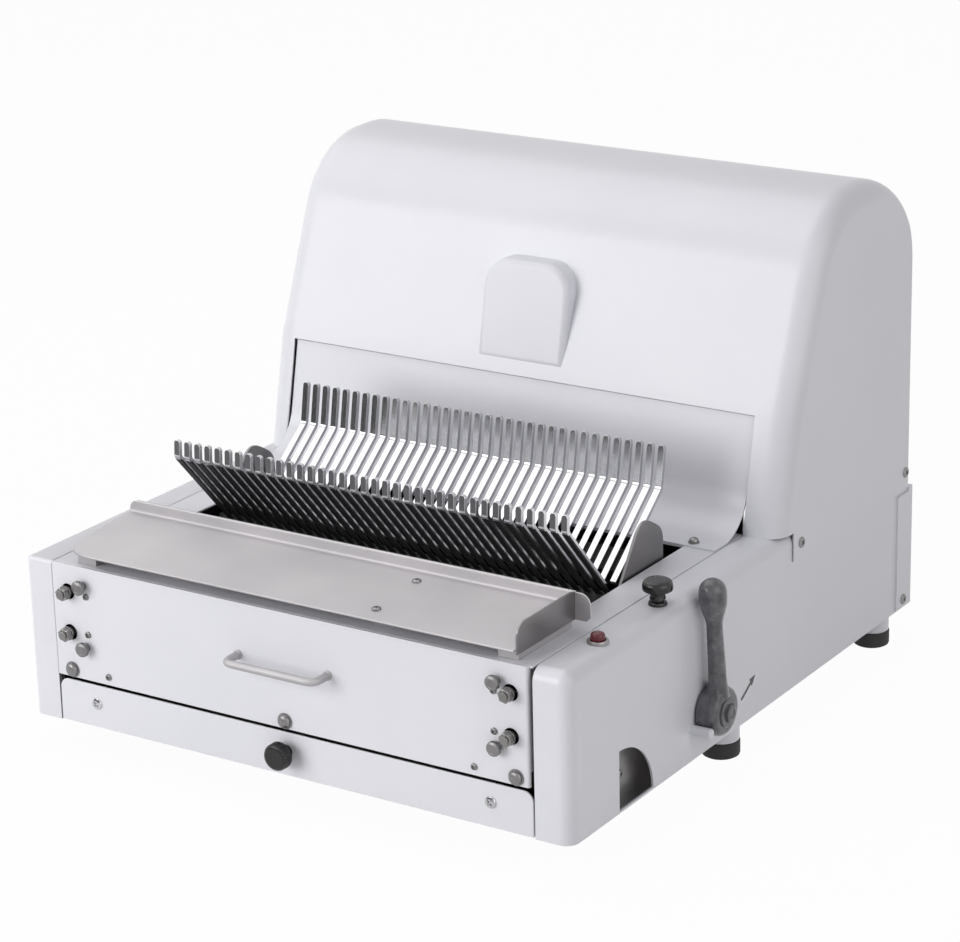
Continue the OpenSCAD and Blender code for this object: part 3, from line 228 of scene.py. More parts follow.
def addPiece(name, node, shape, angle=35, bevel=0.0, solid=0.0, cuts=None, slot=None):
    piece = bpy.data.objects.new(name, meshOf(name, *shape))
    bpy.context.scene.collection.objects.link(piece)
    piece.data.materials.append(finish[slot or slotOf[node]])
    if solid:  # sheet, its drawn face outside
        wall = piece.modifiers.new("wall", "SOLIDIFY")
        wall.thickness = solid * mm
        wall.offset = -1
        wall.use_even_offset = True
    if cuts:
        cutOut(piece, joined(cuts))
    if bevel:
        edge = piece.modifiers.new("edge", "BEVEL")
        edge.width = bevel * mm
        edge.segments = 2
        edge.limit_method = "ANGLE"
        edge.angle_limit = math.radians(angle)
    smoothShade(piece.data, angle)
    flat = piece.modifiers.new("flat", "WEIGHTED_NORMAL")  # large faces stay flat beside round edges
    flat.keep_sharp = True
    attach(piece, bodyOf[node])
    return piece


def cutOut(piece, shape):  # takes closed shapes out of a piece for good
    cutter = bpy.data.objects.new("cutter", meshOf("cutter", *shape))
    bpy.context.scene.collection.objects.link(cutter)
    cut = piece.modifiers.new("cut", "BOOLEAN")
    cut.object = cutter
    cut.solver = "EXACT"
    bpy.context.view_layer.update()
    evaluated = piece.evaluated_get(bpy.context.evaluated_depsgraph_get())
    done = bpy.data.meshes.new_from_object(evaluated)
    piece.modifiers.clear()
    piece.data = done
    bpy.data.objects.remove(cutter)


def standFor(node, name, shape, **settings):  # a piece that takes a solid's place
    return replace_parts(addPiece(name, node, shape, **settings), node)


def joined(shapes):
    points, faces = [], []
    for somePoints, someFaces in shapes:
        start = len(points)
        points += list(somePoints)
        faces += [[start + i for i in face] for face in someFaces]
    return points, faces


def lofted(rings, closed=True, caps=True):  # skin over rings of as many points each
    count = len(rings[0])
    points = [p for ring in rings for p in ring]
    faces = []
    for k in range(len(rings) - 1):
        for i in range(count if closed else count - 1):
            a, b = k * count + i, k * count + (i + 1) % count
            faces.append([a, b, b + count, a + count])
    if caps:
        faces += [list(range(count)), list(range(len(points) - count, len(points)))]
    return points, faces


def lathe(rows, origin, axis, around=48):  # rows of radius, or radius by angle, and distance along
    axis = Vector(axis).normalized()
    side = axis.orthogonal().normalized()
    up = axis.cross(side)
    turns = [2 * math.pi * i / around for i in range(around)]
    rings = []
    for radius, along in rows:
        middle = Vector(origin) + axis * along
        reach = [radius(t) if callable(radius) else radius for t in turns]
        rings.append([middle + (side * math.cos(t) + up * math.sin(t)) * r for t, r in zip(turns, reach)])
    return lofted(rings)


def rod(diameter, start, end):  # plain round bar, for cutting holes
    start, end = Vector(start), Vector(end)
    return lathe([(diameter / 2, 0), (diameter / 2, (end - start).length)], start, end - start)


def arc(centre, radius, start, end, steps=10):
    turns = [math.radians(start + (end - start) * i / steps) for i in range(steps + 1)]
    return [Vector((centre[0] + radius * math.cos(t), centre[1] + radius * math.sin(t))) for t in turns]


mostOfLeg = 0.49  # a round corner takes less than half of a leg


def filleted(path, radius, steps=6):  # flat path with its inner corners rounded
    path = [Vector(p) for p in path]
    out = [path[0]]
    for a, b, c in zip(path, path[1:], path[2:]):
        before, after = (a - b).normalized(), (c - b).normalized()
        half = before.angle(after) / 2
        reach = min(radius / math.tan(half), (a - b).length * mostOfLeg, (c - b).length * mostOfLeg)
        first, last = b + before * reach, b + after * reach
        shares = [i / steps for i in range(steps + 1)]
        out += [first.lerp(b, share).lerp(b.lerp(last, share), share) for share in shares]
    return out + [path[-1]]


def offsetPath(path, distance):  # flat path moved to its left
    out = []
    for i, p in enumerate(path):
        before = (p - path[i - 1]).normalized() if i else (path[1] - p).normalized()
        after = (path[i + 1] - p).normalized() if i < len(path) - 1 else before
        left = Vector((-before.y - after.y, before.x + after.x))
        out.append(p + left * (distance / (1 + before.dot(after))))
    return out


def acrossX(outline, x0, x1):  # outline in y and z, drawn along x
    return lofted([[(x, p[0], p[1]) for p in outline] for x in (x0, x1)])


def acrossY(outline, y0, y1):  # outline in x and z, drawn along y
    return lofted([[(p[0], y, p[1]) for p in outline] for y in (y0, y1)])


# Casings of the base

casingForm = {"radius": {"right": 12, "left": 3}, "wall": 2, "gripFront": 75, "gripRadius": 55, "sill": 2,
              "cup": 1.5, "cupOver": 2, "button": 16.1, "knob": 13.6, "lever": 18, "through": 6,
              "switchDeep": 16, "switchOver": 5}


def casingShell(outer, inner, depth, height):  # round edges and corner; open at bay side, back and bottom
    away = 1 if outer > inner else -1
    r = casingForm["radius"]["right" if away > 0 else "left"]
    levels = [(0, 0), (height - r, 0)]
    turns = [math.pi / 16 * i for i in range(1, 9)]
    levels += [(height - r + r * math.sin(t), r - r * math.cos(t)) for t in turns]
    rings = []
    for z, inset in levels:
        line = [(inner, inset)] + [(outer - away * (r - p.x), p.y) for p in arc((0, r), r - inset, -90, 0, 8)]
        line.append((outer - away * inset, depth))
        rings.append([(x, y, z) for x, y in line])
    points, faces = lofted(rings, closed=False, caps=False)
    last = len(points) - len(rings[0])
    points.append((inner, depth, height))
    return points, faces + [list(range(last, len(points)))]


def gripOpening(x0, x1):  # quarter round hollow above a narrow sill
    start, radius, sill = casingForm["gripFront"], casingForm["gripRadius"], casingForm["sill"]
    low = math.degrees(math.asin(sill / radius))
    return acrossX([(start, sill)] + arc((start, 0), radius, low, 90, 24), x0, x1)


def gripCup(low, high):
    start, radius = casingForm["gripFront"], casingForm["gripRadius"]
    wall = start - low.y
    outline = [(low.y, 0)] + arc((start, 0), radius + wall, 0, 90, 24) + [(low.y, radius + wall)]
    return acrossX(outline, low.x, high.x)


f = casingForm
leverAxis = middleOf("lever_nut")
low, high = boxOf("right_casing")
inside, outside = high.x - f["through"], high.x + f["through"]
holes = [gripOpening(inside, outside)]
for node, diameter in (("stop_button", f["button"]), ("start_knob", f["knob"])):
    x, y, z = middleOf(node)
    holes.append(rod(diameter, (x, y, high.z - f["switchDeep"]), (x, y, high.z + f["switchOver"])))
holes.append(rod(f["lever"], (inside, leverAxis.y, leverAxis.z), (outside, leverAxis.y, leverAxis.z)))
standFor("right_casing", "rightCasing", casingShell(high.x, low.x, high.y, high.z), angle=30,
         solid=f["wall"], cuts=holes)
low, high = boxOf("left_casing")
standFor("left_casing", "leftCasing", casingShell(low.x, high.x, high.y, high.z), angle=30,
         solid=f["wall"])
low, high = boxOf("grip_recess")
hollow = gripOpening(low.x + f["cup"], high.x + f["cupOver"])
# the cup takes the darker turned steel finish: painted shade in the recess
standFor("grip_recess", "gripCup", gripCup(low, high), angle=30, cuts=[hollow], slot="polished_steel")

deckForm = {"groove": 1.6, "edge": 0.8, "openFront": 108, "openLeft": 7, "openRight": 2, "through": 5}


def deckSheet(low, high):  # stops short of the right casing, which leaves a groove
    right = boxOf("right_casing")[0].x - deckForm["groove"]
    side = [(low.y, low.z), (high.y, low.z), (high.y, high.z), (low.y, high.z)]
    return acrossX(side, low.x, right)


f = deckForm
low, high = boxOf("top_deck")
guides, y0, y1 = boxOf("end_guides"), f["openFront"], boxOf("guard_panel")[0].y
z0, z1 = low.z - f["through"], high.z + f["through"]
opening = acrossX([(y0, z0), (y1, z0), (y1, z1), (y0, z1)],
                  guides[0].x - f["openLeft"], guides[1].x + f["openRight"])
standFor("top_deck", "deckSheet", deckSheet(low, high), cuts=[opening], bevel=f["edge"])
print("casings and deck done")


# Hood

hoodForm = {"front": 346, "back": 608, "deck": 148, "low": 121, "skirt": 374, "knee": (368, 252),
            "domeFront": (502, 340), "frontRadius": 92, "domeRear": (517, 341), "rearRadius": 91,
            "left": -2, "right": 554, "edge": 22, "rearEdge": 5, "tighten": 1.3,
            "windowLeft": 23, "windowRight": 518, "wall": 2}


def hoodOutline():  # points of the side outline, with their outward directions and edge radius
    f = hoodForm
    knee, dome = Vector(f["knee"]), Vector(f["domeFront"])
    chord = dome - knee
    lift = math.atan2(chord.y, chord.x) + math.asin(f["frontRadius"] / chord.length)
    lean = math.atan2(f["knee"][0] - f["front"], f["knee"][1] - f["deck"])
    lowSide = Vector((-math.cos(lean), math.sin(lean)))
    highSide = Vector((-math.sin(lift), math.cos(lift)))
    mitre = (lowSide + highSide) / (1 + lowSide.dot(highSide))
    touch = dome + highSide * f["frontRadius"]
    foot = Vector((f["front"], f["deck"]))
    rows = [(foot, Vector((-1 / math.cos(lean), 0)), f["edge"]), (knee, mitre, f["edge"])]
    rows += [(knee.lerp(touch, i / 5), highSide, f["edge"]) for i in range(1, 5)]
    steps = 20
    for i in range(steps + 1):
        turn = math.pi / 2 + lift * (1 - i / steps)
        side = Vector((math.cos(turn), math.sin(turn)))
        rows.append((dome + side * f["frontRadius"], side, f["edge"]))
    for i in range(steps + 1):
        turn = math.pi / 2 * (1 - i / steps)
        side = Vector((math.cos(turn), math.sin(turn)))
        share = min(1.0, i / steps * f["tighten"])  # the edge gets tighter towards the back
        edge = f["edge"] * (1 - share) + f["rearEdge"] * share
        rows.append((Vector(f["domeRear"]) + side * f["rearRadius"], side, edge))
    rows.append((Vector((f["back"], f["low"])), Vector((1, 0)), f["rearEdge"]))
    return rows


def hoodShell():
    f = hoodForm
    rows = hoodOutline()
    steps = 8
    turns = [math.pi / 2 * i / steps for i in range(steps + 1)]
    rings = []
    for spot, side, radius in rows:
        rounded = [(radius * (1 - math.cos(t)), radius * (1 - math.sin(t))) for t in turns]
        line = [(f["left"] + x, inset) for x, inset in rounded]
        line += [(f["windowLeft"], 0), (f["windowRight"], 0)]
        line += [(f["right"] - x, inset) for x, inset in reversed(rounded)]
        rings.append([(x, *(spot - side * inset)) for x, inset in line])
    points, faces = lofted(rings, closed=False, caps=False)
    del faces[steps + 1]  # window of the guard panel
    count = len(rings[0])
    for column, x in ((0, f["left"]), (count - 1, f["right"])):
        start = len(points)
        points += [(x, f["skirt"], f["low"]), (x, f["skirt"], f["deck"])]
        faces.append([k * count + column for k in range(len(rows))] + [start, start + 1])
    return points, faces


plateForm = {"x": 272.5, "half": 46, "low": 263, "high": 354, "round": 27, "foot": 1, "proud": 20, "edge": 6,
             "sunk": 3}


def raisedPlate():  # plain wedge on the hood's front: nearly flush below, proud above
    f = plateForm
    rows = hoodOutline()
    knee, touch = rows[1][0], rows[6][0]  # ends of the hood's straight front
    turns = [math.pi / 2 * i / 6 for i in range(7)]
    levels = [(0, f["proud"] + f["edge"])]
    levels += [(f["edge"] * (1 - math.cos(t)), f["edge"] * (1 - math.sin(t))) for t in turns]
    rings = []
    for inset, below in levels:
        r = f["round"] - inset
        half, low, high = f["half"] - inset, f["low"] + inset, f["high"] - inset
        line = [Vector((-half, low)), Vector((half, low))]
        line += arc((half - r, high - r), r, 0, 90) + arc((-half + r, high - r), r, 90, 180)
        ring = []
        for p in line:
            rise = (p.y - f["low"]) / (f["high"] - f["low"])
            proud = max(f["foot"] + (f["proud"] - f["foot"]) * rise - below, -f["sunk"])
            front = knee.x + (touch.x - knee.x) * (p.y - knee.y) / (touch.y - knee.y)
            ring.append((f["x"] + p.x, front - proud, p.y))
        rings.append(ring)
    return lofted(rings)


standFor("hood", "hoodShell", hoodShell(), angle=25, solid=hoodForm["wall"])
addPiece("hoodPlate", "hood", raisedPlate(), angle=40)
print("hood done")


# Racks of fingers

rackForm = {"middle": 275.5, "pitch": 11.11, "width": 6, "thick": 4, "bend": 7, "edge": 1,
            # paintHigh and paintThick size the painted shade on the front fingers' undersides
            "paintHigh": 1.5, "paintThick": 0.06,
            "front_fingers": {"count": 37, "path": [(119.88, 230.69), (119.04, 214.69), (189.97, 135.92)]},
            "rear_fingers": {"count": 35, "path": [(297.58, 237.07), (290.98, 199.65), (213.76, 139.31)]}}


def fingerXs(node):
    f, count = rackForm, rackForm[node]["count"]
    return [f["middle"] + (i - (count - 1) / 2) * f["pitch"] for i in range(count)]


def flatBar(x, outer, inner, halves):  # bar between two paths, as wide as it says at each point
    return lofted([[(x - h, *p), (x + h, *p), (x + h, *q), (x - h, *q)]
                   for p, q, h in zip(outer, inner, halves)])


def fingerRack(node):  # bent flat bars with round ends
    f = rackForm
    half = f["width"] / 2
    line = filleted(f[node]["path"], f["bend"])
    ahead = (line[1] - line[0]).normalized()
    turns = [math.pi / 12 * i for i in range(1, 6)]
    stations = [line[0] + ahead * half * (1 - math.cos(t)) for t in turns]
    stations += [line[0] + ahead * half] + line[1:]
    halves = [half * math.sin(t) for t in turns] + [half] * len(line)
    inside = offsetPath(stations, f["thick"])
    return joined([flatBar(x, stations, inside, halves) for x in fingerXs(node)])


def paintedShadeUndersides():  # painted shade: the front rack is black below its bend, where its undersides look dark; its upper edges stay bright steel
    f = rackForm
    line = filleted(f["front_fingers"]["path"], f["bend"])[-2:]
    outer, inner = offsetPath(line, -f["paintThick"]), offsetPath(line, f["paintHigh"])
    halves = [f["width"] / 2 + f["paintThick"]] * len(line)
    return joined([flatBar(x, outer, inner, halves) for x in fingerXs("front_fingers")])


standFor("front_fingers", "frontRackFingers", fingerRack("front_fingers"), bevel=rackForm["edge"])
# black strips over the front fingers' undersides: painted shade
addPiece("frontRackPaint", "front_fingers", paintedShadeUndersides(), slot="bar_steel")
standFor("rear_fingers", "rearRackFingers", fingerRack("rear_fingers"), bevel=rackForm["edge"])

guideForm = {"wall": 2.5, "front": 194, "peak": (231, 196), "end": (267, 175), "round": 20, "edge": 0.5}


def endGuides():  # plates that keep the loaf between the racks
    f = guideForm
    low, high = boxOf("end_guides")
    start, back = Vector((f["front"], low.z)), Vector((f["end"][0], low.z))
    line = [start, back] + filleted([back, f["end"], f["peak"], start], f["round"], 8)[1:-1]
    return joined([acrossX(line, x, x + f["wall"]) for x in (low.x, high.x - f["wall"])])


standFor("end_guides", "endGuides", endGuides(), bevel=guideForm["edge"], slot="polished_steel")
print("racks done")


# Bagging tray

trayForm = {"wing": 14.5, "fall": 7.5, "flange": 11, "bend": 2.5, "wall": 1.5, "corner": 26,
            "flangeRound": 9, "wingRound": 10, "wingChamfer": 4, "flapFront": 5, "flapShort": 7,
            "flapRise": 13, "flapRound": 12, "step": 1.5, "lipDeep": 1, "edge": 0.4}


def roundedOff(radius, away):  # how far a round corner has drawn back at a distance from its tip
    if away >= radius:
        return 0
    return radius - math.sqrt(max(0, radius ** 2 - (radius - away) ** 2))


def traySurface(y):  # the tray falls a little towards its front edge
    low, high = boxOf("bagging_tray")
    return high.z - trayForm["flapRise"] - trayForm["fall"] * (high.y - y) / (high.y - low.y)


def trayFloor(low, high):  # plain front edge, and a lip along the back
    f = trayForm
    top = high.z - f["flapRise"]
    lip = top + f["flange"]
    path = filleted([(low.y, traySurface(low.y)), (high.y, top), (high.y, lip)], f["bend"], 5)
    fine = []
    for a, b in zip(path, path[1:]):
        steps = max(1, int((b - a).length / f["step"]))
        fine += [a.lerp(b, i / steps) for i in range(steps)]
    fine.append(path[-1])
    rings = []
    for p in fine:
        back = roundedOff(f["corner"], p.x - low.y)
        if p.x > high.y - f["lipDeep"]:
            back = roundedOff(f["flangeRound"], lip - p.y)
        rings.append([(low.x + back, *p), (high.x - f["wall"] / 2, *p)])
    return lofted(rings, closed=False, caps=False)


def trayFlap(low, high):  # upright plate at the right end
    f = trayForm
    r = f["flapRound"]
    front, top = low.y + f["flapFront"], high.z - f["flapRise"] + f["flange"]
    outline = [Vector((high.y, low.z)), Vector((high.y, top)), Vector((high.y - f["flapShort"], high.z))]
    outline += arc((front + r, high.z - r), r, 90, 180) + [Vector((front, low.z))]
    return acrossX(outline, high.x - f["wall"], high.x)


def trayWing(low, high):  # end of the rear lip, past the flap
    f = trayForm
    r, end, top = f["wingRound"], high.x + f["wing"], high.z - f["flapRise"] + f["flange"]
    start, chamfer = high.x - f["wall"], f["wingChamfer"]
    outline = [Vector((start, low.z)), Vector((end - chamfer, low.z)), Vector((end, low.z + chamfer))]
    outline += arc((end - r, top - r), r, 0, 90) + [Vector((start, top))]
    return acrossY(outline, high.y - f["wall"], high.y)


trayBox = boxOf("bagging_tray")
standFor("bagging_tray", "trayFloor", trayFloor(*trayBox), angle=50, solid=trayForm["wall"])
# the flap takes the darker turned steel finish: painted shade on this upright end of the same sheet
addPiece("trayFlap", "bagging_tray", trayFlap(*trayBox), bevel=trayForm["edge"], slot="polished_steel")
addPiece("trayWing", "bagging_tray", trayWing(*trayBox), bevel=trayForm["edge"])

spacerForm = {"half": 10, "inset": 9, "front": 8, "middleFront": 24, "below": 1.6, "edge": 0.6}


def spacerBars(low, high):  # flat bars that carry the tray on the deck
    f = spacerForm
    screws = boxOf("tray_screws")
    middles = (low.x + f["inset"] + f["half"], (screws[0].x + screws[1].x) / 2, high.x - f["half"])
    bars = []
    for x, front in zip(middles, (f["front"], f["middleFront"], f["front"])):
        tops = [(y, traySurface(y) - f["below"]) for y in (high.y, front)]
        bars.append(acrossX([(front, low.z), (high.y, low.z)] + tops, x - f["half"], x + f["half"]))
    return joined(bars)


standFor("tray_brackets", "traySpacers", spacerBars(*boxOf("tray_brackets")), bevel=spacerForm["edge"])
print("tray done")


# Lever

leverForm = {"hubLength": 20, "hubRadius": 22, "hubEdge": ((-1, 17.5), (-3, 19.4), (-4, 20)), "hubFlat": 14,
             "hubFoot": 1.5, "armIn": 12, "lean": 6, "root": 9.4, "rootTo": 12, "waist": 8, "waistAt": 28,
             "neck": 6.9, "flare": (80, 105), "bulb": 12, "bulbAt": 112,
             "voxel": 0.9, "blur": 0.5, "blurs": 12,
             "web": ((19, 5), (13, 14), (8.6, 23)), "webIn": (5, 17)}


def leverCasting(axis, hubIn):  # round hub, a club that swells to a bulb, and a web between them
    f = leverForm
    hub = f["hubRadius"]
    rows = [(hub - f["hubFoot"], 0), (hub, f["hubFoot"]), (hub, f["hubFlat"])]
    rows += [(hub + wider, along) for wider, along in f["hubEdge"]]
    start, end = f["flare"]
    club = [(f["root"], 0), (f["root"], f["rootTo"]), (f["waist"], f["waistAt"]), (f["neck"], start)]
    for i in range(1, 9):
        share = i / 8
        grown = (f["bulb"] - f["neck"]) * share * share * (3 - 2 * share)  # eases in and out
        club.append((f["neck"] + grown, start + (end - start) * share))
    club += [(p.x, p.y) for p in arc((0, f["bulbAt"]), f["bulb"], 0, 88)]
    lean = math.radians(f["lean"])
    up = Vector((-math.sin(lean), math.cos(lean)))
    side = Vector((math.cos(lean), math.sin(lean)))
    foot = (hubIn + f["armIn"], axis.y, axis.z)
    edges = list(f["web"]) + [(-w, h) for w, h in reversed(f["web"])]
    web = [Vector((axis.y, axis.z)) + side * w + up * h for w, h in edges]
    return joined([lathe(rows, (hubIn, axis.y, axis.z), toRight, 64), lathe(club, foot, (0, *up), 40),
                   acrossX(web, hubIn + f["webIn"][0], hubIn + f["webIn"][1])])


def hexagon(across):  # radius of a hexagon by angle
    return lambda turn: across / 2 / math.cos((turn % (math.pi / 3)) - math.pi / 6)


low, high = boxOf("lever_nut")
casting = leverCasting(leverAxis, low.x - leverForm["hubLength"])
lever = standFor("feed_lever", "leverCasting", casting, angle=60)
knit = lever.modifiers.new("cast", "REMESH")  # runs hub, web and club into one casting
knit.mode = "VOXEL"
knit.voxel_size = leverForm["voxel"] * mm
knit.use_smooth_shade = True
blur = lever.modifiers.new("blur", "SMOOTH")
blur.factor = leverForm["blur"]
blur.iterations = leverForm["blurs"]

leverNutForm = {"disc": ((13, 0), (13, 1.2), (12.2, 2), (9.5, 2.2)), "hex": 15, "hexFrom": 2.2, "hexTo": 4.4,
                "end": ((6.6, 5), (4, 5), (3.6, 4.4))}
f = leverNutForm
flats = hexagon(f["hex"])
rows = list(f["disc"]) + [(flats, f["hexFrom"]), (flats, f["hexTo"])] + list(f["end"])
standFor("lever_nut", "leverNut", lathe(rows, (low.x, leverAxis.y, leverAxis.z), toRight, 60),
         slot="lever_casting")

pegForm = {"radius": 4.5, "end": ((4.5, 1.4), (3.6, 0.2), (3, 0))}  # end as radius and distance from the tip
f = pegForm
low, high = boxOf("stop_peg")
axis, length = middleOf("stop_peg"), high.x - low.x
rows = [(f["radius"], 0)] + [(radius, length - short) for radius, short in f["end"]]
standFor("stop_peg", "stopPeg", lathe(rows, (low.x, axis.y, axis.z), toRight))

arrowForm = {"from": (281.6, 23.5), "to": (307, 38.5), "half": 1.4, "head": 4.4, "long": 10, "thick": 0.15}


def arrowMark(face):  # plain printed arrow that shows the lever's way
    f = arrowForm
    start, end = Vector(f["from"]), Vector(f["to"])
    ahead = (end - start).normalized()
    side = Vector((-ahead.y, ahead.x))
    neck = end - ahead * f["long"]
    line = [start + side * f["half"], start - side * f["half"], neck - side * f["half"],
            neck - side * f["head"], end, neck + side * f["head"], neck + side * f["half"]]
    return acrossX(line, face, face + f["thick"])


addPiece("leverArrow", "right_casing", arrowMark(boxOf("right_casing")[1].x), slot="black_plastic")
print("lever done")


# Front cover and drawer

rodForm = {"radius": 5, "washer": 6.25, "washerAt": (8.6, 8.4, 7), "hex": 10.8, "hexAt": (7, 2.4),
           "stub": ((4.9, 1.8), (3.9, 1.8), (3.9, 0.6), (3.2, 0))}


def rodEnd(x, z, low, high):  # guide rod with a washer, a nut and a stub of thread at its front
    f = rodForm
    start, face, end = f["washerAt"]
    flats = hexagon(f["hex"])
    rows = [(f["radius"], high), (f["radius"], low + start)]
    rows += [(f["washer"], low + face), (f["washer"], low + end)]
    rows += [(flats, low + along) for along in f["hexAt"]]
    rows += [(radius, low + along) for radius, along in f["stub"]]
    return lathe(rows, (x, 0, z), toBack)


rodSpots = []
for node in ("guide_rods_a", "guide_rods_b"):
    low, high = boxOf(node)
    xs = (low.x + rodForm["washer"], high.x - rodForm["washer"])
    z = (low.z + high.z) / 2
    rodSpots += [(x, z) for x in xs]
    rods = joined([rodEnd(x, z, low.y, high.y) for x in xs])
    standFor(node, "guideRods" + node[-1].upper(), rods, angle=30)

coverForm = {"groove": 4.5, "wall": 2, "round": 3, "hole": 14.5, "through": 5, "notch": 13, "lift": 2.4,
             "foldShort": 1}


def coverSheet(low, high):  # flat front with a fold down its right edge, which stops short at both ends
    f = coverForm
    r = f["round"]
    right = boxOf("right_casing")[0].x - f["groove"]
    plan = [(low.x, 0)] + [(right - r + p.x, r + p.y) for p in arc((0, 0), r, -90, 0, 6)]
    plan.append((right, high.y - f["foldShort"]))
    levels = [low.z, low.z + f["notch"], high.z - f["lift"], high.z]
    points, faces = lofted([[(x, y, z) for x, y in plan] for z in levels], closed=False, caps=False)
    strips = len(plan) - 1
    kept = [face for i, face in enumerate(faces) if i % strips < strips - 1 or i // strips == 1]
    return points, kept


f = coverForm
holes = [rod(f["hole"], (x, -f["through"], z), (x, f["through"], z)) for x, z in rodSpots]
standFor("front_cover", "coverSheet", coverSheet(*boxOf("front_cover")), angle=30,
         solid=f["wall"], cuts=holes)

drawerForm = {"round": 9, "gap": 0.8, "wall": 2, "edge": 0.6, "side": 41.4, "floor": 3.2,
              "drop": 5, "sheet": 1.5}


def drawerFront(low, high):
    r, top = drawerForm["round"], high.z - drawerForm["gap"]
    outline = [Vector((low.x, low.z)), Vector((high.x, low.z))] + arc((high.x - r, top - r), r, 0, 90)
    return acrossY(outline + arc((low.x + r, top - r), r, 90, 180), 0, drawerForm["wall"])


def drawerBox(low, high):  # open above
    f = drawerForm
    left, right = low.x + f["side"], high.x - f["side"]
    plan = [(left, f["wall"]), (right, f["wall"]), (right, high.y), (left, high.y)]
    levels = (low.z + f["floor"], high.z - f["drop"])
    points, faces = lofted([[(x, y, z) for x, y in plan] for z in levels])
    return points, faces[:-1]


drawer = boxOf("crumb_drawer")
standFor("crumb_drawer", "drawerFront", drawerFront(*drawer), bevel=drawerForm["edge"])
addPiece("drawerBox", "crumb_drawer", drawerBox(*drawer), solid=drawerForm["sheet"], slot="zinc_sheet")

handleForm = {"reach": 20, "sunk": 1, "radius": 3.5, "bend": 9, "solidFoot": 6.5, "foot": 4.25,
              "footLength": 2, "footEdge": 0.5}


def handleBar(low, high):  # round bar bent to a U, with a short collar at each foot
    f = handleForm
    left, right, z = low.x + f["solidFoot"], high.x - f["solidFoot"], (low.z + high.z) / 2
    corners = [(left, f["sunk"]), (left, -f["reach"]), (right, -f["reach"]), (right, f["sunk"])]
    path = filleted(corners, f["bend"], 10)
    turns = [math.pi / 12 * k for k in range(24)]
    rings = []
    for i, p in enumerate(path):
        ahead = (path[min(i + 1, len(path) - 1)] - path[max(i - 1, 0)]).normalized()
        side = Vector((-ahead.y, ahead.x)) * f["radius"]
        rings.append([(*(p + side * math.cos(t)), z + f["radius"] * math.sin(t)) for t in turns])
    rows = [(f["foot"], 0), (f["foot"], f["footLength"] - f["footEdge"]), (f["radius"], f["footLength"])]
    return joined([lofted(rings)] + [lathe(rows, (x, 0, z), toFront) for x in (left, right)])


standFor("cover_handle", "coverHandle", handleBar(*boxOf("cover_handle")), slot="stainless")


# Knobs, nuts and screws

def knurled(radius, depth, teeth):  # radius of a knurled rim by angle
    return lambda turn: radius - depth * (0.5 + 0.5 * math.cos(turn * teeth))


def crossRecess(reach, half):  # cross-shaped recess in a screw head
    def radius(turn):
        local = (turn + math.pi / 4) % (math.pi / 2) - math.pi / 4
        return min(reach / math.cos(local), max(half / max(abs(math.sin(local)), 0.001), half * 1.35))
    return radius


def panHead(spot, axis, head, rise):  # low head with a cross; its rows are shares of radius and rise
    r = head / 2
    rows = [(r, 0), (r, rise * 0.35), (r * 0.9, rise * 0.72), (r * 0.66, rise * 0.94),
            (crossRecess(r * 0.55, r * 0.14), rise), (crossRecess(r * 0.5, r * 0.11), rise * 0.45)]
    return lathe(rows, spot, axis)


def domeHead(spot, axis, head, rise):  # domed head on a thin washer
    r = head / 2
    dome = r * 0.84
    cap = [(p.x, rise * 0.4 + p.y * rise * 0.6 / dome) for p in arc((0, 0), dome, 0, 86, 7)]
    return lathe([(r, 0), (r, rise * 0.16), (dome, rise * 0.2)] + cap, spot, axis)


nutForm = {"neck": 4, "radius": 6.5, "neckLength": 4, "teeth": 30, "cut": 0.45}
f = nutForm
low, high = boxOf("cover_thumb_nuts")
r, start, end = f["radius"], f["neckLength"], -low.y
rim = knurled(r, f["cut"], f["teeth"])
rows = [(f["neck"], 0), (f["neck"], start), (r - 0.7, start), (rim, start + 0.5),
        (rim, end - 1.4), (r - 1, end - 0.6), (3.6, end), (2.7, end - 0.5)]  # neck, rim and hollow end
xs, zs = (low.x + r, high.x - r), (low.z + r, high.z - r)
nuts = [lathe(rows, (x, 0, z), toFront, 180) for x in xs for z in zs]
standFor("cover_thumb_nuts", "thumbNuts", joined(nuts), angle=40)

screwForm = {"solidHead": 7, "head": 6, "rise": 2, "pairs": (121.5, 86.5), "cornerIn": 20, "corner": 51}
f = screwForm
low, high = boxOf("cover_screws")
xs = (low.x + f["solidHead"] / 2, high.x - f["solidHead"] / 2)
spots = [(x, 0, z) for x in xs for z in f["pairs"]]
spots += [(xs[0] + f["cornerIn"], 0, f["corner"]), (xs[1] - f["cornerIn"], 0, f["corner"])]
heads = [panHead(spot, toFront, f["head"], f["rise"]) for spot in spots]
standFor("cover_screws", "coverScrews", joined(heads))

boltForm = {"grown": 1.2}
low, high = boxOf("cover_bolts")
head, z = high.z - low.z, (low.z + high.z) / 2
xs = (low.x + head / 2, (low.x + high.x) / 2, high.x - head / 2)
heads = [domeHead((x, 0, z), toFront, head * boltForm["grown"], -low.y) for x in xs]
standFor("cover_bolts", "coverBolts", joined(heads))

drawerScrewForm = {"head": 10.5}
low, high = boxOf("drawer_screws")
half, z = (high.z - low.z) / 2, (low.z + high.z) / 2
xs = (low.x + half, high.x - half)
heads = [panHead((x, 0, z), toFront, drawerScrewForm["head"], -low.y) for x in xs]
standFor("drawer_screws", "drawerScrews", joined(heads), slot="finger_steel")

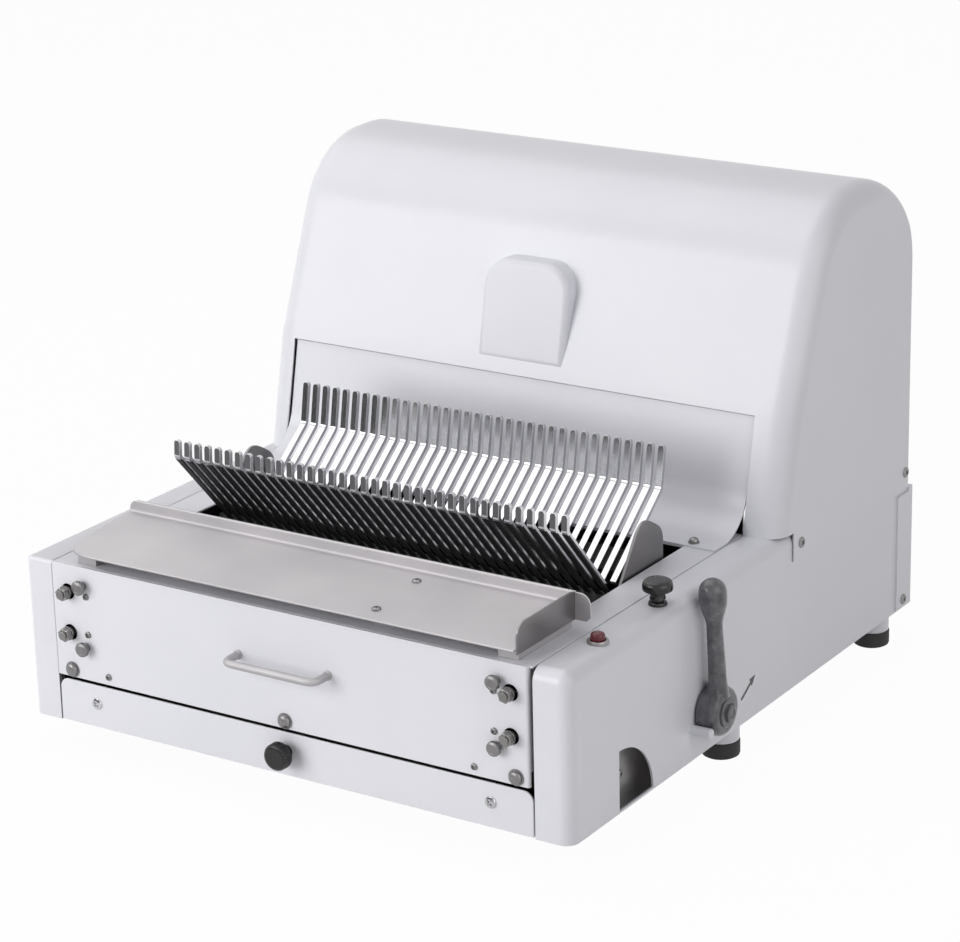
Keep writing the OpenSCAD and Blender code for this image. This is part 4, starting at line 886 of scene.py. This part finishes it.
knobForm = {"neck": 6, "neckLength": 6, "teeth": 28, "cut": 0.7}
f = knobForm
low, high = boxOf("drawer_knob")
radius, length, start = (high.z - low.z) / 2, -low.y, f["neckLength"]
rim = knurled(radius, f["cut"], f["teeth"])
rows = [(f["neck"], 0), (f["neck"], start), (radius - 2, start + 1), (rim, start + 2.2), (rim, length - 2.5),
        (radius - 1.2, length - 1), (radius - 2.6, length - 0.2), (radius - 4, length),
        (4, length - 0.6)]  # neck, knurled rim and hollow end
centre = ((low.x + high.x) / 2, 0, (low.z + high.z) / 2)
standFor("drawer_knob", "drawerKnob", lathe(rows, centre, toFront, 168), angle=40)

low, high = boxOf("tray_screws")
head, x = high.x - low.x, (low.x + high.x) / 2
rise = high.z - trayBox[1].z + trayForm["flapRise"]
ys = (low.y + head / 2, high.y - head / 2)
heads = [panHead((x, y, traySurface(y)), upward, head, rise) for y in ys]
standFor("tray_screws", "trayScrews", joined(heads))

guardForm = {"head": 10, "rise": 5}
f = guardForm
low, high = boxOf("guard_screws")
xs = (low.x + f["head"] / 2, high.x - f["head"] / 2)
y, z = (low.y + high.y) / 2, high.z - f["rise"]
heads = [domeHead((x, y, z), upward, f["head"], f["rise"]) for x in xs]
standFor("guard_screws", "guardScrews", joined(heads))

sideForm = {"head": 10, "rise": 2, "spots": ((388, 135), (598, 137), (598, 10))}  # y and z on each side
f = sideForm
low, high = boxOf("side_screws")
heads = [panHead((high.x - f["rise"], y, z), toRight, f["head"], f["rise"]) for y, z in f["spots"]]
heads += [panHead((low.x + f["rise"], y, z), toLeft, f["head"], f["rise"]) for y, z in f["spots"]]
standFor("side_screws", "sideScrews", joined(heads))

low, high = boxOf("grip_screw")
head = high.y - low.y
spot = (high.x - screwForm["rise"], (low.y + high.y) / 2, (low.z + high.z) / 2)
standFor("grip_screw", "gripScrew", panHead(spot, toRight, head, screwForm["rise"]))
print("front done")


# Switches and feet

switchForm = {  # rows of radius and height over the casing's top
    "stop_button": [(6.2, -8), (6.2, 5.2), (6, 6.6), (5.3, 7.9), (4.1, 8.6), (2.2, 8.95)],
    "button_bezel": [(6.55, -20), (8.05, -20), (8.05, 0), (9.05, 0), (9.05, 1.8), (8.5, 2.8),
                     (7.8, 3), (7, 2.8), (6.55, 2.2), (6.55, -20)],
    "start_knob": [(5, -14), (5, 5.8), (7, 5.8), (6.5, 7.5), (6.3, 9.6), (7, 11.4), (9, 12.2), (11.8, 12.5),
                   (12.8, 13.3), (13, 14.6), (13, 17), (12.6, 19), (11.6, 20.8), (9.8, 21.8),
                   (7, 22.2), (3, 22.3)],
    "knob_collar": [(5.3, -20), (6.8, -20), (6.8, 0), (8, 0), (8, 1.8), (7.4, 2.8), (6.6, 3),
                    (5.3, 3), (5.3, -20)],
}
top = boxOf("right_casing")[1].z
for node, rows in switchForm.items():  # turned pieces on their solids' upright axes
    low, high = boxOf(node)
    first, second = node.split("_")
    spot = ((low.x + high.x) / 2, (low.y + high.y) / 2, top)
    standFor(node, first + second.title(), lathe(rows, spot, upward, 64))

footForm = {"radius": 17, "pad": 15, "neck": 16.4, "xs": (17, 535), "ys": (276, 570)}
f = footForm
low, high = boxOf("rubber_feet")
spots = [(x, y, low.z) for x in f["xs"] for y in f["ys"]]
r, rise = f["radius"], f["pad"]
rows = [(r - 2, 0), (r - 0.5, 0.9), (r, 2.4), (r, rise - 1.5), (r - 0.4, rise - 0.4), (r - 1, rise)]
standFor("rubber_feet", "rubberPads", joined([lathe(rows, spot, upward, 64) for spot in spots]))
rows = [(f["neck"] - 0.4, rise), (f["neck"], rise + 0.6), (f["neck"], -low.z)]
standFor("foot_necks", "footNecks", joined([lathe(rows, spot, upward, 64) for spot in spots]))
print("switches and feet done")


# Floor, light and camera

def stagePlane(name, wide, deep, location):
    plane = bpy.data.objects.new(name, bpy.data.meshes.new(name))
    x, y = wide / 2, deep / 2
    plane.data.from_pydata([(-x, -y, 0), (x, -y, 0), (x, y, 0), (-x, y, 0)], [], [(0, 1, 2, 3)])
    plane.location = location
    bpy.context.scene.collection.objects.link(plane)
    return plane


floorForm = {"size": 16, "white": 0.97, "gap": 0.2}  # white is the share of plain white that the camera sees
f = floorForm
floor = stagePlane("studioFloor", f["size"], f["size"], (0, 0, cadBox[0].z - f["gap"] * mm))
material, tree = newMaterial("paleStudioFloor")[:2]
rays = addNode(tree, "ShaderNodeLightPath")
matt = addNode(tree, "ShaderNodeBsdfDiffuse", {"Color": hexLinear("f4f4f4")})
plain = addNode(tree, "ShaderNodeEmission", {"Strength": 1.0})
seen = addNode(tree, "ShaderNodeMath", {"operation": "MAXIMUM"},
               {0: rays.outputs["Is Camera Ray"], 1: rays.outputs["Is Glossy Ray"]})
share = addNode(tree, "ShaderNodeMath", {"operation": "MULTIPLY", 1: f["white"]}, {0: seen.outputs[0]})
mixed = addNode(tree, "ShaderNodeMixShader",
                links={0: share.outputs[0], 1: matt.outputs[0], 2: plain.outputs[0]})
closeMaterial(tree, mixed)
floor.data.materials.append(material)

worldForm = {"fill": 0.2, "seen": 1.0}  # light on matt faces, and white for the eye and for mirrors
world = bpy.data.worlds.new("studio")
bpy.context.scene.world = world
world.use_nodes = True
tree = world.node_tree
tree.nodes.clear()
rays = addNode(tree, "ShaderNodeLightPath")
seen = addNode(tree, "ShaderNodeMath", {"operation": "MAXIMUM"},
               {0: rays.outputs["Is Camera Ray"], 1: rays.outputs["Is Transmission Ray"]})
near = addNode(tree, "ShaderNodeMath", {"operation": "MAXIMUM"},
               {0: seen.outputs[0], 1: rays.outputs["Is Glossy Ray"]})
fill = addNode(tree, "ShaderNodeBackground", {"Color": hexLinear("ffffff"), "Strength": worldForm["fill"]})
white = addNode(tree, "ShaderNodeBackground", {"Color": hexLinear("ffffff"), "Strength": worldForm["seen"]})
mixed = addNode(tree, "ShaderNodeMixShader",
                links={0: near.outputs[0], 1: fill.outputs[0], 2: white.outputs[0]})
addNode(tree, "ShaderNodeOutputWorld", links={"Surface": mixed.outputs[0]})

lampForm = {"key": {"place": (-1500, -2780, 930), "size": 2.5, "power": 85},
            "right": {"place": (2900, -300, 1300), "size": 2.4, "power": 21},
            "top": {"place": (-900, 300, 2600), "size": 2.6, "power": 26}}
lampAim = (276, 300, 150)
for name, f in lampForm.items():
    lamp = bpy.data.lights.new(name, "AREA")
    lamp.size = f["size"]
    lamp.energy = f["power"]
    thing = bpy.data.objects.new(name, lamp)
    thing.location = toFrame(*f["place"])
    thing.rotation_euler = (toFrame(*lampAim) - thing.location).to_track_quat("-Z", "Y").to_euler()
    bpy.context.scene.collection.objects.link(thing)

cardForm = {"frontCard": {"place": (-1150, -2050, 330), "facing": (275, 290, 220),
                          "size": (2.6, 1.1), "tone": "161617"},
            "floorCard": {"place": (-350, -950, -26), "facing": (-350, -950, 100),
                          "size": (1.7, 1.1), "tone": "808082"}}
for name, f in cardForm.items():  # dark cards, mirrored in the bright steel and seen by nothing else
    card = stagePlane(name, *f["size"], toFrame(*f["place"]))
    card.rotation_euler = (toFrame(*f["facing"]) - card.location).to_track_quat("Z", "Y").to_euler()
    card.visible_camera = False
    card.visible_diffuse = False
    card.visible_transmission = False
    card.visible_shadow = False
    material, tree = newMaterial(name)[:2]
    closeMaterial(tree, addNode(tree, "ShaderNodeBsdfDiffuse", {"Color": hexLinear(f["tone"])}))
    card.data.materials.append(material)

cameraForm = {"place": (1752.283, -1930.583, 1098.537), "yaw": 31.651, "pitch": -18.333, "roll": -0.844,
              "lens": 118.05, "sensor": 36, "shift": (-0.1006, -0.0359), "far": 40}
f = cameraForm
lens = bpy.data.cameras.new("photoCamera")
lens.sensor_width = f["sensor"]
lens.lens = f["lens"]
lens.shift_x, lens.shift_y = f["shift"]
lens.clip_end = f["far"]
camera = bpy.data.objects.new("photoCamera", lens)
turns = [Matrix.Rotation(math.radians(angle), 4, axis)
         for angle, axis in ((f["yaw"], "Z"), (90 + f["pitch"], "X"), (f["roll"], "Z"))]
camera.matrix_world = Matrix.Translation(toFrame(*f["place"])) @ turns[0] @ turns[1] @ turns[2]
bpy.context.scene.collection.objects.link(camera)
bpy.context.scene.camera = camera
bpy.context.scene.view_settings.view_transform = "Standard"
print("studio done")
